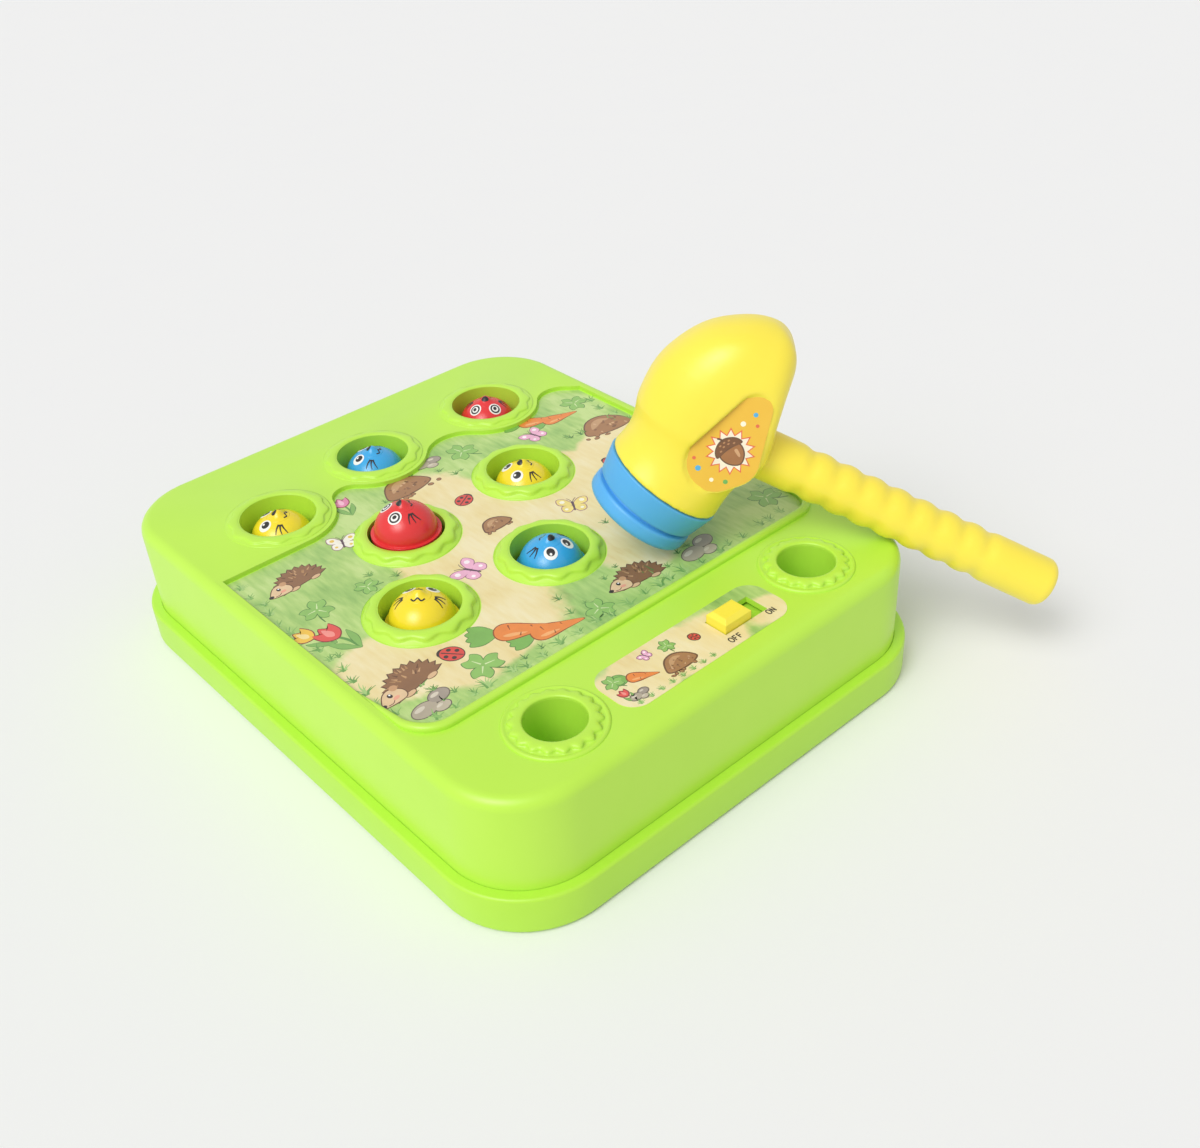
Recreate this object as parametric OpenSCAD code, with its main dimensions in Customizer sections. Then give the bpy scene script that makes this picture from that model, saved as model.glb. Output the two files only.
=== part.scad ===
// Whack-a-mole game: a board with eight motor-driven moles, and a toy hammer that lies on it.
// Millimetres. +Z is up, the board stands on z = 0 and its front, with the switch, faces -Y.

/* [Board] */
// Width of the base tray across X
board_w = 224; // [216:1:240]
// Depth of the base tray across Y
board_d = 273; // [266:1:294]
// Height of the front strip and of the back plateau
board_h = 56.2; // [55:0.1:60]
// Corner radius of the base tray
corner_r = 36; // [30:1:40]
// Height of the base tray's side wall
tray_h = 16.5; // [12:0.5:20]
// Thickness of the tray's side wall, which shows as a ledge around the shell
skirt_step = 4.4; // [3:0.1:6]
// Rounding of the tray's lower edge
foot_edge = 2; // [1:0.1:3]
// Rounding of the tray's upper edge
ledge_edge = 1.2; // [0.6:0.1:2]
// Wall thickness of the moulded pieces
wall = 2.4; // [2:0.1:2.8]
// Rounding of the shell's upper edge
edge_r = 4.8; // [3:0.1:5]
// Gap between pieces that are pushed together
fit_gap = 0.1; // [0.05:0.01:0.15]

/* [Play panel] */
// Depth of the panel below the strip
panel_drop = 2; // [1.5:0.1:2.4]
// Distance from the tray's side to the panel
panel_margin = 11; // [10:0.5:13]
// Depth of the front strip
strip_d = 54.5; // [52:0.5:56]
// Corner radius of the panel's front corners
panel_r = 14; // [8:1:18]
// Radius of the plateau's round lobes around the back wells
lobe_r = 24; // [23:0.5:25]
// Thickness of the printed sheets
sheet_t = 0.2; // [0.15:0.05:0.3]

/* [Mole wells] */
// Inner radius of a well
well_r = 15.8; // [15.2:0.1:16.2]
// Wall thickness of a well
well_wall = 2; // [1.6:0.1:2.2]
// Height of the collars above the strip
collar_rise = 1.4; // [1:0.1:2]
// Outer radius of a collar at its foot
collar_r = 21.8; // [21:0.1:22.5]
// Outer radius of a collar's scalloped ridge
ridge_r = 20; // [19.4:0.1:20.4]
// Width of a collar's upper rim
collar_rim = 1.2; // [0.8:0.1:1.6]
// Depth of the scallops
scallop = 0.55; // [0.3:0.05:0.8]

/* [Hammer pockets] */
// Bore radius of a pocket
pocket_r = 11.1; // [10.6:0.1:11.6]
// Depth of a pocket below the strip
pocket_depth = 30; // [20:1:34]
// Distance of each pocket from the middle
pocket_x = 63; // [60:0.2:64]
// Distance of the pockets from the front of the tray
pocket_back = 31.3; // [30:0.1:32]
// Outer radius of the smooth ring around a pocket
ring_r = 18.2; // [17.6:0.1:19]
// Height of that ring above the strip
ring_rise = 0.5; // [0.3:0.1:0.7]
// Outer radius of the scalloped ridge on that ring
pocket_ridge_r = 15.8; // [15:0.1:16.4]
// Height of that ridge above the ring
pocket_ridge = 0.6; // [0.4:0.1:0.8]

/* [Moles] */
// Outer radius of a mole's dome
dome_r = 13; // [12:0.1:13.4]
// Radius of a mole's base rim
rim_r = 14.4; // [14:0.1:14.8]
// Height of the base rim
rim_t = 1.6; // [1.2:0.1:2]
// Height of a mole from its base to the tip of its nose
mole_h = 15.4; // [14.5:0.1:16]
// Radius of the nose tip
nose_r = 2.2; // [1.8:0.1:2.6]
// Thickness of the dome
dome_t = 1.6; // [1.2:0.1:2]
// Height of the nose tip above the collars when a mole is down
nose_show = 1.6; // [1:0.1:3]
// Travel of a mole from down to up
mole_stroke = 12.5; // [11:0.1:13]
// Radius of a plunger's stem
stem_r = 4.5; // [4:0.1:4.8]
// Radius of a plunger's foot
foot_r = 7.5; // [7:0.1:8]
// Thickness of a plunger's foot
foot_t = 2; // [1.6:0.1:2.4]

/* [Guide deck] */
// Thickness of the deck that the plungers slide in
deck_t = 2.5; // [2:0.1:3]
// Height of the deck's bushes
bush_h = 3.5; // [3:0.1:4]
// Outer radius of the deck's bushes
bush_r = 8; // [7:0.1:9]
// Width of the deck
deck_w = 164; // [162:1:168]
// Depth of the deck
deck_d = 150; // [149:1:152]

/* [Drive] */
// Running gap around turning and sliding shafts
run_gap = 0.08; // [0.04:0.01:0.1]
// Clear gap between pieces that pass each other
pass_gap = 0.3; // [0.25:0.05:0.4]
// Teeth on the cam plate's rim
rim_teeth = 116; // [112:1:118]
// Tooth module of the cam plate's rim
rim_module = 1.5; // [1.48:0.01:1.5]
// Teeth on the idler's small gear
small_teeth = 10; // [10:1:11]
// Teeth on the idler's big gear
big_teeth = 40; // [36:1:40]
// Teeth on the motor's pinion
pinion_teeth = 10; // [10:1:11]
// Tooth module of the motor stage
motor_module = 0.8; // [0.75:0.01:0.82]
// Height of the cam plate's hills
hill_h = 10.4; // [9:0.1:11]
// Base radius of a hill
hill_r = 12.5; // [12:0.1:13]
// Width of the rim's teeth
rim_face = 5; // [4:0.1:5.5]
// Radius of the cam plate's post
post_r = 5; // [4:0.1:6]
// Radius of the motor's can
motor_r = 10; // [9:0.1:10.5]
// Thickness of the can across its flats
motor_flat = 15; // [14:0.1:16]
// Length of the motor's can
motor_len = 23; // [20:0.5:24]
// Radius of the motor's shaft
shaft_r = 1; // [0.8:0.1:1.2]

/* [Switch] */
// Width of the knob along its travel
knob_w = 13.2; // [12:0.1:16]
// Depth of the knob
knob_d = 9.8; // [9:0.1:13]
// Height of the knob above the strip
knob_rise = 5.2; // [4:0.1:6]
// Chamfer of the knob's upper edges
knob_chamfer = 1.6; // [1:0.1:2]
// Travel of the knob
knob_travel = 8; // [7:0.5:10]
// Position of the knob's middle across X when off
knob_x = 17.1; // [16:0.1:20]
// Width of the printed sheet around the switch
label_w = 82; // [80:1:90]
// Depth of the printed sheet around the switch
label_d = 24; // [22:0.5:25]

/* [Battery bay] */
// Diameter of a cell
cell_d = 14.2; // [13.8:0.1:14.5]
// Length of a cell
cell_len = 50; // [49:0.1:50.5]
// Number of cells side by side
cell_count = 3; // [2:1:3]
// Thickness of the battery door
door_t = 1.5; // [1.2:0.1:1.6]

/* [Hammer] */
// Radius of the yellow head at its ring
ring_end_r = 24.3; // [23.5:0.1:25]
// Distance from the handle's axis to the ring, along the head
ring_end_x = 25.5; // [24:0.1:27]
// Distance from the handle's axis to the tail of the head
tail_x = 48; // [46:0.5:52]
// Lean of the striking face away from the handle
face_lean = 10.3; // [8:0.1:12]
// Half the thickness of the head above the handle
head_y = 22.5; // [22:0.1:23.5]
// Wall thickness of the hollow head and handle
hammer_wall = 2.2; // [1.8:0.1:2.6]
// Length of the blue cap's flared band
band_l = 13; // [11:0.5:14]
// Radius of the blue cap at its groove
band_r = 21.4; // [21:0.1:22]
// Length of the cap's striking pad
pad_l = 6.5; // [5:0.5:8]
// Depth of the cap's groove
groove = 1.5; // [1:0.1:2]
// Radius of the handle
handle_r = 9.5; // [9:0.1:9.6]
// Distance from the head's axis to the end of the handle
handle_l = 150; // [140:1:160]
// Depth of the grooves between the handle's rings
rib_depth = 1.2; // [1:0.1:1.4]
// Number of grooves along the handle
rib_count = 8; // [6:1:8]
// Distance from one groove to the next
rib_pitch = 10.9; // [10:0.1:11.3]

/* [Hidden] */
$fn = 64;

// Moles from the back left to the front right: place, lift at rest, colour
mole_at = [
    [-61.5, 73.5], [-5, 87], [58.5, 86.5], [-30.4, 25.6],
    [33.5, 28.8], [2, -26], [-56.5, -20], [62, -22]
];
mole_lift = [0.5, 1.5, 1.5, 12, 1.5, 3.5, 4.7, 0];
mole_colour = [
    "gold", "royalblue", "crimson", "crimson",
    "gold", "royalblue", "gold", "royalblue"
];
mole_ids = [for (i = [0:len(mole_at) - 1]) i];
back_moles = [0, 1, 2];

// Heights from the strip down to the cam plate
panel_z = board_h - panel_drop;
collar_z = board_h + collar_rise;
dome_z = collar_z + nose_show - mole_h;
bush_z = dome_z - pass_gap;
deck_top = bush_z - bush_h;
deck_z = deck_top - deck_t;
foot_top = deck_z - mole_stroke - pass_gap;
foot_z = foot_top - foot_t;
crest_z = foot_z - pass_gap;
plate_top = crest_z - hill_h;
plate_z = plate_top - wall;
rim_z = plate_top - rim_face;
under_deck = board_h - wall;
under_panel = panel_z - wall;
floor_z = wall;
over = 1;

// Outline of the shell inside the tray
inset = skirt_step + fit_gap;
inner_step = skirt_step - over;
shell_w = board_w - 2 * inset;
shell_d = board_d - 2 * inset;
shell_r = corner_r - inset;

// Panel and plateau
panel_w = board_w - 2 * panel_margin;
panel_front = strip_d - board_d / 2;
shoulder_y = mole_at[0].y - lobe_r;
side_lobe_out = 14;
side_lobe = [panel_w / 2 + side_lobe_out, 88];
lobes = [for (i = back_moles) mole_at[i], side_lobe];
bays = [8.5, 17, 12];
edge_step = 18;
arc_steps = 12;
ridge_drop = 0.5;
sheet_gap = 0.8;
scallops = 12;
ring_scallops = 18;
scallop_steps = 6;

// Pockets and switch
pocket_y = pocket_back - board_d / 2;
pocket_floor = board_h - pocket_depth;
pocket_top = board_h + ring_rise + pocket_ridge;
pockets = [for (x = [-1, 1]) [x * pocket_x, pocket_y]];
knob_front = 3;
knob_y = pocket_y - knob_front;
label_x = -1;
label_front = 3.1;
label_y = pocket_y - label_front;
slot_gap = 0.4;
slot_w = knob_w + knob_travel + 2 * slot_gap;
slot_d = knob_d + 2 * slot_gap;
slot_x = knob_x + knob_travel / 2;
switch_gap = 1.2;
switch_h = 9;
switch_wall = 3;
pin_w = 4;
pin_l = 3;

// Posts and screws
post_out_r = 4.2;
post_inset = 24;
side_post_inset = 14;
corner_posts = [for (x = [-1, 1], y = [-1, 1])
    [x * (board_w / 2 - post_inset), y * (board_d / 2 - post_inset)]];
post_rise = 3.5;
post_split = tray_h + post_rise;
screw_r = 1.5;
screw_head_r = 2.8;
screw_head_t = 1.8;
screw_seat = 3;
screw_bite = 9;
screw_slot = 0.7;
deck_y = 32;
deck_corner = 20;
deck_posts = [[-72, 28], [72, 28], [-28, -22], [30, -22], [-34, 66], [28, 66]];
deck_post_r = 3.4;
deck_bite = 7;

// Cam plate and gear train
cam_at = [0, 28];
cam_tracks = [32, 56, 74];
rim_pitch = rim_module * rim_teeth / 2;
side_post_clear = 14.92;
side_post_x = board_w / 2 - side_post_inset;
side_post_y = cam_at.y - sqrt(max(0, pow(rim_pitch + side_post_clear, 2) - pow(side_post_x, 2)));
side_posts = [for (x = [-1, 1]) [x * side_post_x, side_post_y]];
small_pitch = rim_module * small_teeth / 2;
big_pitch = motor_module * big_teeth / 2;
pinion_pitch = motor_module * pinion_teeth / 2;
mesh_gap = 0.06;
pressure = 25;
addendum = 0.8;
dedendum = 1.2;
hill_edge = rim_pitch - dedendum * rim_module - run_gap;
backlash = 0.16;
idler_turn = 232;
idler_at = cam_at + (rim_pitch + small_pitch + mesh_gap) * [cos(idler_turn), sin(idler_turn)];
motor_in = 34.93;
motor_reach = big_pitch + pinion_pitch + mesh_gap;
motor_turn = 180 + acos(min(1, (idler_at.x + board_w / 2 - motor_in) / motor_reach));
motor_at = idler_at + motor_reach * [cos(motor_turn), sin(motor_turn)];
rim_width = 7;
hub_r = 9;
gear_rise = 0.8;
big_z = floor_z + gear_rise;
big_face = rim_z - pass_gap - big_z;
axle_r = 1.5;
can_rise = 7;
can_z = rim_z + can_rise;
can_boss_r = 3;
can_boss_h = 1.5;
cradle_wall = 2;
cradle_h = 9;
cradle_foot = 8;
cradle_leg = 3.5;
cradle_screw_x = motor_at.x - motor_r - cradle_wall - cradle_foot / 2;
cradle_screws = [for (y = [-1, 1]) [cradle_screw_x, motor_at.y + y * motor_flat / 3]];
can_bore = 9;
cam_head_r = 8;
cam_head_t = 2;
axle_head_r = 3;
axle_head_t = 1.2;
socket_h = 8;
hill_phase = 50;
press_gap = 0.02;

// Dome
nose_sink = 1.76;
dome_step = 7.5;

// Battery bay
cell_gap = 0.8;
contact_space = 3.2;
contact_t = 0.4;
bay_wall = 1.8;
bay_w = cell_len + 2 * contact_space;
bay_d = cell_count * cell_d + (cell_count + 1) * cell_gap;
bay_shift = 6.2;
bay_y = pocket_y + bay_shift;
door_lip = 3;
door_gap = 0.2;
door_z = 0.2;
tab_w = 14;
tab_d = 9;
cell_z = floor_z + door_gap + cell_d / 2;
bay_top = cell_z + cell_d / 2 + door_gap;
tab_shift = 1;
door_screw_y = bay_y + (bay_d + tab_d) / 2 + tab_shift;
door_post_r = 3.5;
door_post_h = 9;
door_seat = 1;
door_bite = 5;

// Hammer pose on the board, and its inner sizes
hammer_at = [53.45, -61.36, 103.42];
hammer_turn = [18.59, 61.67, 150.97];
ring_end_z = 4.64;
head_top = 28.2;
head_under = 25.5;
tail_z = -3;
tail_drop = 8;
tail_end = 0.999;
top_curve = [2.2, 1.9];
under_curve = 5;
side_curve = [3.2, 2.2];
waist = 2.2;
upper_power = 2.3;
lower_power = 4.5;
spigot_r = 18;
spigot_l = 8;
pad_t = 2.5;
pad_edge = 1.5;
groove_w = 0.9;
cheek_y = 19.6;
cheek_lobes = [[5, -6.5, 11.5], [1, -11, 11], [-20, -10.5, 6.5]];
cheek_gap = 0.6;
neck_z = -24;
neck_end = -34;
neck_flare = 3;
plug_r = 7.2;
plug_l = 14;
rib_start = 42.2;
rib_curve = 1.4;
tip_r = 4;
tip_step = 15;
pad_step = 0.3;
head_stations = 14;
neck_stations = 8;
head_sides = 36;
rib_steps = 10;

// Upright block with rounded corners, centred on the origin
module round_block(w, d, r, z0, z1) {
    translate([0, 0, z0]) {
        translate([-w / 2, r - d / 2, 0]) cube([w, d - 2 * r, z1 - z0]);
        translate([r - w / 2, -d / 2, 0]) cube([w - 2 * r, d, z1 - z0]);
        for (x = [-1, 1], y = [-1, 1])
            translate([x * (w / 2 - r), y * (d / 2 - r), 0]) cylinder(r = r, h = z1 - z0);
    }
}

// Upright block between two corners
module slab(x0, x1, y0, y1, z0, z1) {
    translate([x0, y0, z0]) cube([x1 - x0, y1 - y0, z1 - z0]);
}

// Upright cylinder at a place, between two heights
module rod(at, r, z0, z1) {
    translate([at.x, at.y, z0]) cylinder(r = r, h = z1 - z0);
}

// Sweeps a wall profile around a rounded rectangle: x is the distance outwards from the outline
module sweep_outline(w, d, r) {
    for (q = [0:3]) {
        turned = q % 2 == 1;
        hx = (turned ? d : w) / 2;
        hy = (turned ? w : d) / 2;
        rotate([0, 0, 90 * q]) {
            translate([hx - r, hy - r, 0]) rotate_extrude(angle = 90) translate([r, 0]) children();
            translate([hx, hy - r, 0]) rotate([90, 0, 0]) linear_extrude(2 * (hy - r)) children();
        }
    }
}

// Prism with a scalloped edge
module scalloped(at, r, count, z0, z1) {
    steps = count * scallop_steps;
    points = [for (k = [0:steps - 1])
        let (a = 360 * k / steps, e = r - scallop + scallop * cos(count * a)) [e * cos(a), e * sin(a)]];
    translate([at.x, at.y, z0]) linear_extrude(z1 - z0) polygon(points);
}

// Gear tooth outline: involute flanks sampled at the base, pitch and tip radii
function involute(a) = tan(a) * 180 / PI - a;
function gear_points(m, n) =
    let (
        pitch = m * n / 2,
        base = pitch * cos(pressure),
        tip = pitch + addendum * m,
        root = pitch - dedendum * m,
        half = 90 / n - backlash / pitch * 90 / PI + involute(pressure),
        low = max(base, root),
        radii = [low, pitch, tip],
        spread = [for (r = radii) half - involute(acos(base / r))]
    )
    [for (k = [0:n - 1])
        let (c = 360 * k / n)
        each concat(
            base > root ? [root * [cos(c - spread[0]), sin(c - spread[0])]] : [],
            [for (j = [0:2]) radii[j] * [cos(c - spread[j]), sin(c - spread[j])]],
            [for (j = [2:-1:0]) radii[j] * [cos(c + spread[j]), sin(c + spread[j])]],
            base > root ? [root * [cos(c + spread[0]), sin(c + spread[0])]] : []
        )];

module gear(m, n, turn, z0, z1) {
    translate([0, 0, z0]) rotate([0, 0, turn]) linear_extrude(z1 - z0) polygon(gear_points(m, n));
}

// Middle of a round bay of the panel that touches two neighbouring lobes of the plateau
function bay_centre(k) =
    let (
        p = lobes[k],
        q = lobes[k + 1],
        half = (q - p) / 2,
        reach = sqrt(pow(lobe_r + bays[k], 2) - half * half)
    )
    p + half + reach / norm(half) * [half.y, -half.x];

// Points along an arc, without its ends where the next arc already has them
function arc(centre, r, from, to, skip = 0) =
    [for (t = [skip:arc_steps - skip])
        let (a = from + (to - from) * t / arc_steps)
        centre + r * [cos(a), sin(a)]];
function bearing(v) = atan2(v.y, v.x);

// Arc around a lobe of the plateau, and around the bay to its left
function lobe_arc(k, grow, start) =
    arc(lobes[k], lobe_r - grow, start, k == 0 ? -90 : bearing(bay_centre(k - 1) - lobes[k]));
function bay_arc(k, grow) =
    let (middle = bay_centre(k))
    arc(middle, bays[k] + grow, bearing(lobes[k + 1] - middle), bearing(lobes[k] - middle), 1);

// Outline of the play panel, grown outwards by a margin: its back follows the plateau's lobes
function panel_points(grow) =
    let (
        half = panel_w / 2 + grow,
        r = panel_r + grow,
        low = panel_front + panel_r,
        last = len(bays),
        across = half - side_lobe.x,
        side_start = bearing([across, -sqrt(pow(lobe_r - grow, 2) - across * across)])
    )
    concat(
        arc([r - half, low], r, 180, 270),
        arc([half - r, low], r, 270, 360),
        lobe_arc(last, grow, side_start),
        [for (k = [last - 1:-1:0]) each concat(
            bay_arc(k, grow),
            lobe_arc(k, grow, bearing(bay_centre(k) - lobes[k]))
        )],
        [[-half, shoulder_y + grow]]
    );

module panel_region(grow, z0, z1) {
    translate([0, 0, z0]) linear_extrude(z1 - z0) polygon(panel_points(grow));
}

// Collar of a well: a sloping ring with a scalloped ridge
module collar(at, foot) {
    translate([at.x, at.y, foot])
        cylinder(r1 = collar_r, r2 = well_r + collar_rim, h = collar_z - foot);
    scalloped(at, ridge_r, scallops, foot, collar_z - ridge_drop);
}

// Self-tapping screw with a crossed slot, its head below the seat, or above it when turned down
module screw(at, seat, bite, head_t, down = false) {
    translate([at.x, at.y, seat]) mirror([0, 0, down ? 1 : 0]) difference() {
        union() {
            cylinder(r = screw_r, h = bite);
            translate([0, 0, -head_t]) cylinder(r = screw_head_r, h = head_t);
        }
        for (a = [0, 90]) rotate([0, 0, a]) translate([0, 0, -head_t])
            cube([2 * screw_head_r - screw_slot, screw_slot, head_t], center = true);
    }
}

// Battery bay, grown outwards by its wall
module bay_block(grow, z0, z1) {
    slab(-bay_w / 2 - grow, bay_w / 2 + grow, -bay_d / 2 - grow, bay_d / 2 + grow, z0, z1);
}

// Outline of the battery door with its screw tab, grown by a gap
module door_outline(grow, z0, z1) {
    half_w = bay_w / 2 + door_lip + grow;
    half_d = bay_d / 2 + door_lip + grow;
    slab(-half_w, half_w, bay_y - half_d, bay_y + half_d, z0, z1);
    slab(-tab_w / 2 - grow, tab_w / 2 + grow, bay_y, bay_y + bay_d / 2 + tab_d + grow, z0, z1);
}

module base_tray() color("yellowgreen") difference() {
    union() {
        round_block(board_w - 2 * inner_step, board_d - 2 * inner_step, corner_r - inner_step, 0, floor_z);
        sweep_outline(board_w, board_d, corner_r) polygon(concat(
            [[-skirt_step, 0]],
            [for (a = [-90:edge_step:0]) foot_edge * [cos(a) - 1, sin(a) + 1]],
            [for (a = [0:edge_step:90]) ledge_edge * [cos(a) - 1, sin(a) - 1] + [0, tray_h]],
            [[-skirt_step, tray_h]]
        ));
        for (p = concat(corner_posts, side_posts)) rod(p, post_out_r, 0, post_split);
        rod(cam_at, hub_r, 0, rim_z - pass_gap);
        rod(cam_at, post_r, 0, plate_top + pass_gap);
        rod(idler_at, axle_r + wall / 2, 0, big_z - pass_gap / 2);
        translate([0, bay_y, 0]) bay_block(bay_wall, 0, bay_top + bay_wall);
        rod([0, door_screw_y], door_post_r, 0, door_post_h);
    }
    for (p = concat(corner_posts, side_posts)) {
        rod(p, screw_head_r + pass_gap, -over, screw_seat);
        rod(p, screw_r + fit_gap, 0, post_split + over);
    }
    rod(cam_at, screw_r + fit_gap / 2, screw_seat, plate_top + pass_gap + over);
    rod(idler_at, axle_r + fit_gap / 2, floor_z / 2, big_z + over);
    for (p = cradle_screws) rod(p, screw_r + fit_gap / 2, floor_z / 4, floor_z + over);
    translate([0, bay_y, 0]) bay_block(0, -over, bay_top);
    door_outline(door_gap, -over, door_z + door_t + fit_gap);
    rod([0, door_screw_y], screw_r + fit_gap / 2, 0, door_post_h - wall);
}

module top_shell() color("greenyellow") difference() {
    union() {
        difference() {
            shell_body();
            panel_region(0, panel_z, board_h + over);
        }
        for (i = mole_ids) collar(mole_at[i], i < len(back_moles) ? board_h : panel_z);
        for (p = pockets) {
            rod(p, ring_r, under_deck, board_h + ring_rise);
            scalloped(p, pocket_ridge_r, ring_scallops, board_h, pocket_top);
        }
    }
    for (p = concat(corner_posts, side_posts))
        rod(p, screw_r + fit_gap / 2, post_split - over, post_split + screw_bite + over);
    for (p = deck_posts) rod(p, screw_r + fit_gap / 2, deck_top - over, deck_top + deck_bite + over);
    slot_cut(under_deck - over, board_h + over);
    for (i = mole_ids) rod(mole_at[i], well_r, deck_top - over, collar_z + over);
    for (p = pockets) rod(p, pocket_r, pocket_floor, pocket_top + over);
}

// Shell walls, deck, wells, pockets and posts, before the panel is cut down
module shell_body() {
    sweep_outline(shell_w, shell_d, shell_r) polygon(concat(
        [[0, floor_z + fit_gap]],
        [for (a = [0:edge_step:90]) [edge_r * (cos(a) - 1), board_h - edge_r + edge_r * sin(a)]],
        [[-edge_r - over, board_h], [-edge_r - over, under_deck], [-edge_r, under_deck],
         [-wall, board_h - edge_r - wall / 2], [-wall, floor_z + fit_gap]]
    ));
    round_block(shell_w - 2 * edge_r, shell_d - 2 * edge_r, shell_r - edge_r, under_deck, board_h);
    panel_region(wall, under_panel, board_h);
    for (i = mole_ids) rod(mole_at[i], well_r + well_wall, deck_top, panel_z);
    for (p = pockets) rod(p, pocket_r + well_wall, pocket_floor - wall, board_h);
    for (p = corner_posts) rod(p, post_out_r, post_split, board_h - wall / 2);
    for (p = side_posts) rod(p, post_out_r, post_split, panel_z - wall / 2);
    for (p = deck_posts) rod(p, deck_post_r, deck_top, panel_z - wall / 2);
}

// Opening that the switch knob slides in
module slot_cut(z0, z1) {
    slab(slot_x - slot_w / 2, slot_x + slot_w / 2, knob_y - slot_d / 2, knob_y + slot_d / 2, z0, z1);
}

module play_sheet() color("tan") difference() {
    panel_region(-sheet_gap, panel_z, panel_z + sheet_t);
    for (i = mole_ids) rod(mole_at[i], collar_r + sheet_gap, panel_z - over, panel_z + over);
}

module switch_sheet() color("palegoldenrod") difference() {
    translate([label_x, label_y, 0]) round_block(label_w, label_d, label_d / 3, board_h, board_h + sheet_t);
    slot_cut(board_h - over, board_h + over);
    for (p = pockets) rod(p, ring_r + sheet_gap, board_h - over, board_h + over);
}

module guide_deck() color("black") difference() {
    union() {
        translate([0, deck_y, 0]) round_block(deck_w, deck_d, deck_corner, deck_z, deck_top);
        for (i = mole_ids) rod(mole_at[i], bush_r, deck_z, bush_z);
    }
    for (i = mole_ids) rod(mole_at[i], stem_r + run_gap, deck_z - over, bush_z + over);
    for (p = deck_posts) rod(p, screw_r + fit_gap, deck_z - over, deck_top + over);
}

module case_screws() color("silver")
    for (p = concat(corner_posts, side_posts))
        screw(p, screw_seat, post_split + screw_bite - screw_seat, screw_head_t);

module small_screws() color("silver") {
    for (p = deck_posts) screw(p, deck_z, deck_t + deck_bite, screw_head_t);
    for (p = cradle_screws) screw(p, floor_z + wall, wall + floor_z / 2, screw_head_t, down = true);
    screw([0, door_screw_y], door_seat + door_z, door_bite, door_seat);
}

module battery_door() color("yellowgreen") difference() {
    door_outline(0, door_z, door_z + door_t);
    rod([0, door_screw_y], screw_head_r + fit_gap, door_z - over, door_z + door_seat);
    rod([0, door_screw_y], screw_r + fit_gap, 0, door_z + door_t + over);
}

// Places a child at each cell's axis, running along +X from the cell's left end
module at_cells() {
    for (k = [0:cell_count - 1])
        translate([-cell_len / 2, bay_y + (k - (cell_count - 1) / 2) * (cell_d + cell_gap), cell_z])
            rotate([0, 90, 0]) children();
}

module battery_cells() color("dimgray")
    at_cells() cylinder(d = cell_d, h = cell_len);

module battery_contacts() color("silver") {
    spring_l = contact_space - contact_t;
    at_cells() for (z = [-spring_l, cell_len])
        translate([0, 0, z]) cylinder(d = cell_d / 2, h = spring_l);
    for (side = [-1, 1])
        translate([side * (bay_w - contact_t) / 2, bay_y, cell_z])
            cube([contact_t, bay_d - 2 * cell_gap, cell_d - 2 * cell_gap], center = true);
}

module switch_body() color("yellowgreen") {
    z1 = under_deck - switch_gap;
    half_w = (knob_travel + pin_w) / 2 + pass_gap;
    half_d = slot_d / 2 + switch_wall;
    half_pin = pin_w / 2 + pass_gap;
    translate([slot_x, knob_y, 0]) {
        difference() {
            slab(-half_w - switch_wall, half_w + switch_wall, -half_d, half_d, z1 - switch_h, z1);
            slab(-half_w, half_w, -half_pin, half_pin, z1 - pin_l - pass_gap, z1 + over);
        }
        half_lug = switch_wall / 2 - slot_gap;
        for (side = [-1, 1])
            translate([0, side * (half_d - half_lug), 0])
                slab(-half_w, half_w, -half_lug, half_lug, z1, under_deck);
    }
}

// Knob profile with chamfered upper edges
module knob_profile(width, z0, z1) {
    half = width / 2;
    top = half - knob_chamfer;
    shoulder = z1 - knob_chamfer;
    polygon([[-half, z0], [half, z0], [half, shoulder], [top, z1], [-top, z1], [-half, shoulder]]);
}

module switch_knob() color("yellow") translate([knob_x, knob_y, 0]) {
    z0 = under_deck - switch_gap + pass_gap;
    z1 = board_h + knob_rise;
    intersection() {
        rotate([90, 0, 0]) linear_extrude(2 * knob_d, center = true) knob_profile(knob_w, z0, z1);
        rotate([90, 0, 90]) linear_extrude(2 * knob_w, center = true) knob_profile(knob_d, z0, z1);
    }
    slab(-pin_w / 2, pin_w / 2, -pin_w / 2, pin_w / 2, z0 - pass_gap - pin_l, z0);
}

// Outline of the motor's can: a cylinder with two flats, grown by a gap
module can_outline(grow, z0, z1) {
    intersection() {
        rod([0, 0], motor_r + grow, z0, z1);
        slab(-2 * motor_r, 2 * motor_r, -motor_flat / 2 - grow, motor_flat / 2 + grow, z0, z1);
    }
}

module motor_can() color("silver") translate([motor_at.x, motor_at.y, 0]) difference() {
    union() {
        can_outline(0, can_z, can_z + motor_len);
        rod([0, 0], can_boss_r, can_z - can_boss_h, can_z + over);
    }
    rod([0, 0], shaft_r + run_gap, can_z - can_boss_h - over, can_z + can_bore);
}

module motor_cradle() color("white") translate([motor_at.x, motor_at.y, 0]) difference() {
    half_w = motor_r + cradle_wall;
    half_d = motor_flat / 2 + cradle_wall;
    union() {
        slab(-half_w, half_w, -half_d, half_d, can_z - cradle_wall, can_z + cradle_h);
        slab(-half_w, cradle_leg - half_w, -half_d, half_d, floor_z, can_z);
        slab(-half_w - cradle_foot, cradle_leg - half_w, -half_d, half_d, floor_z, floor_z + wall);
    }
    can_outline(fit_gap, can_z, can_z + cradle_h + over);
    rod([0, 0], can_boss_r + fit_gap, can_z - cradle_wall - over, can_z + over);
    for (p = cradle_screws) rod(p - motor_at, screw_r + fit_gap, 0, floor_z + wall + over);
}

module motor_shaft() color("silver")
    rod(motor_at, shaft_r, big_z, can_z + can_bore - pass_gap);

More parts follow.
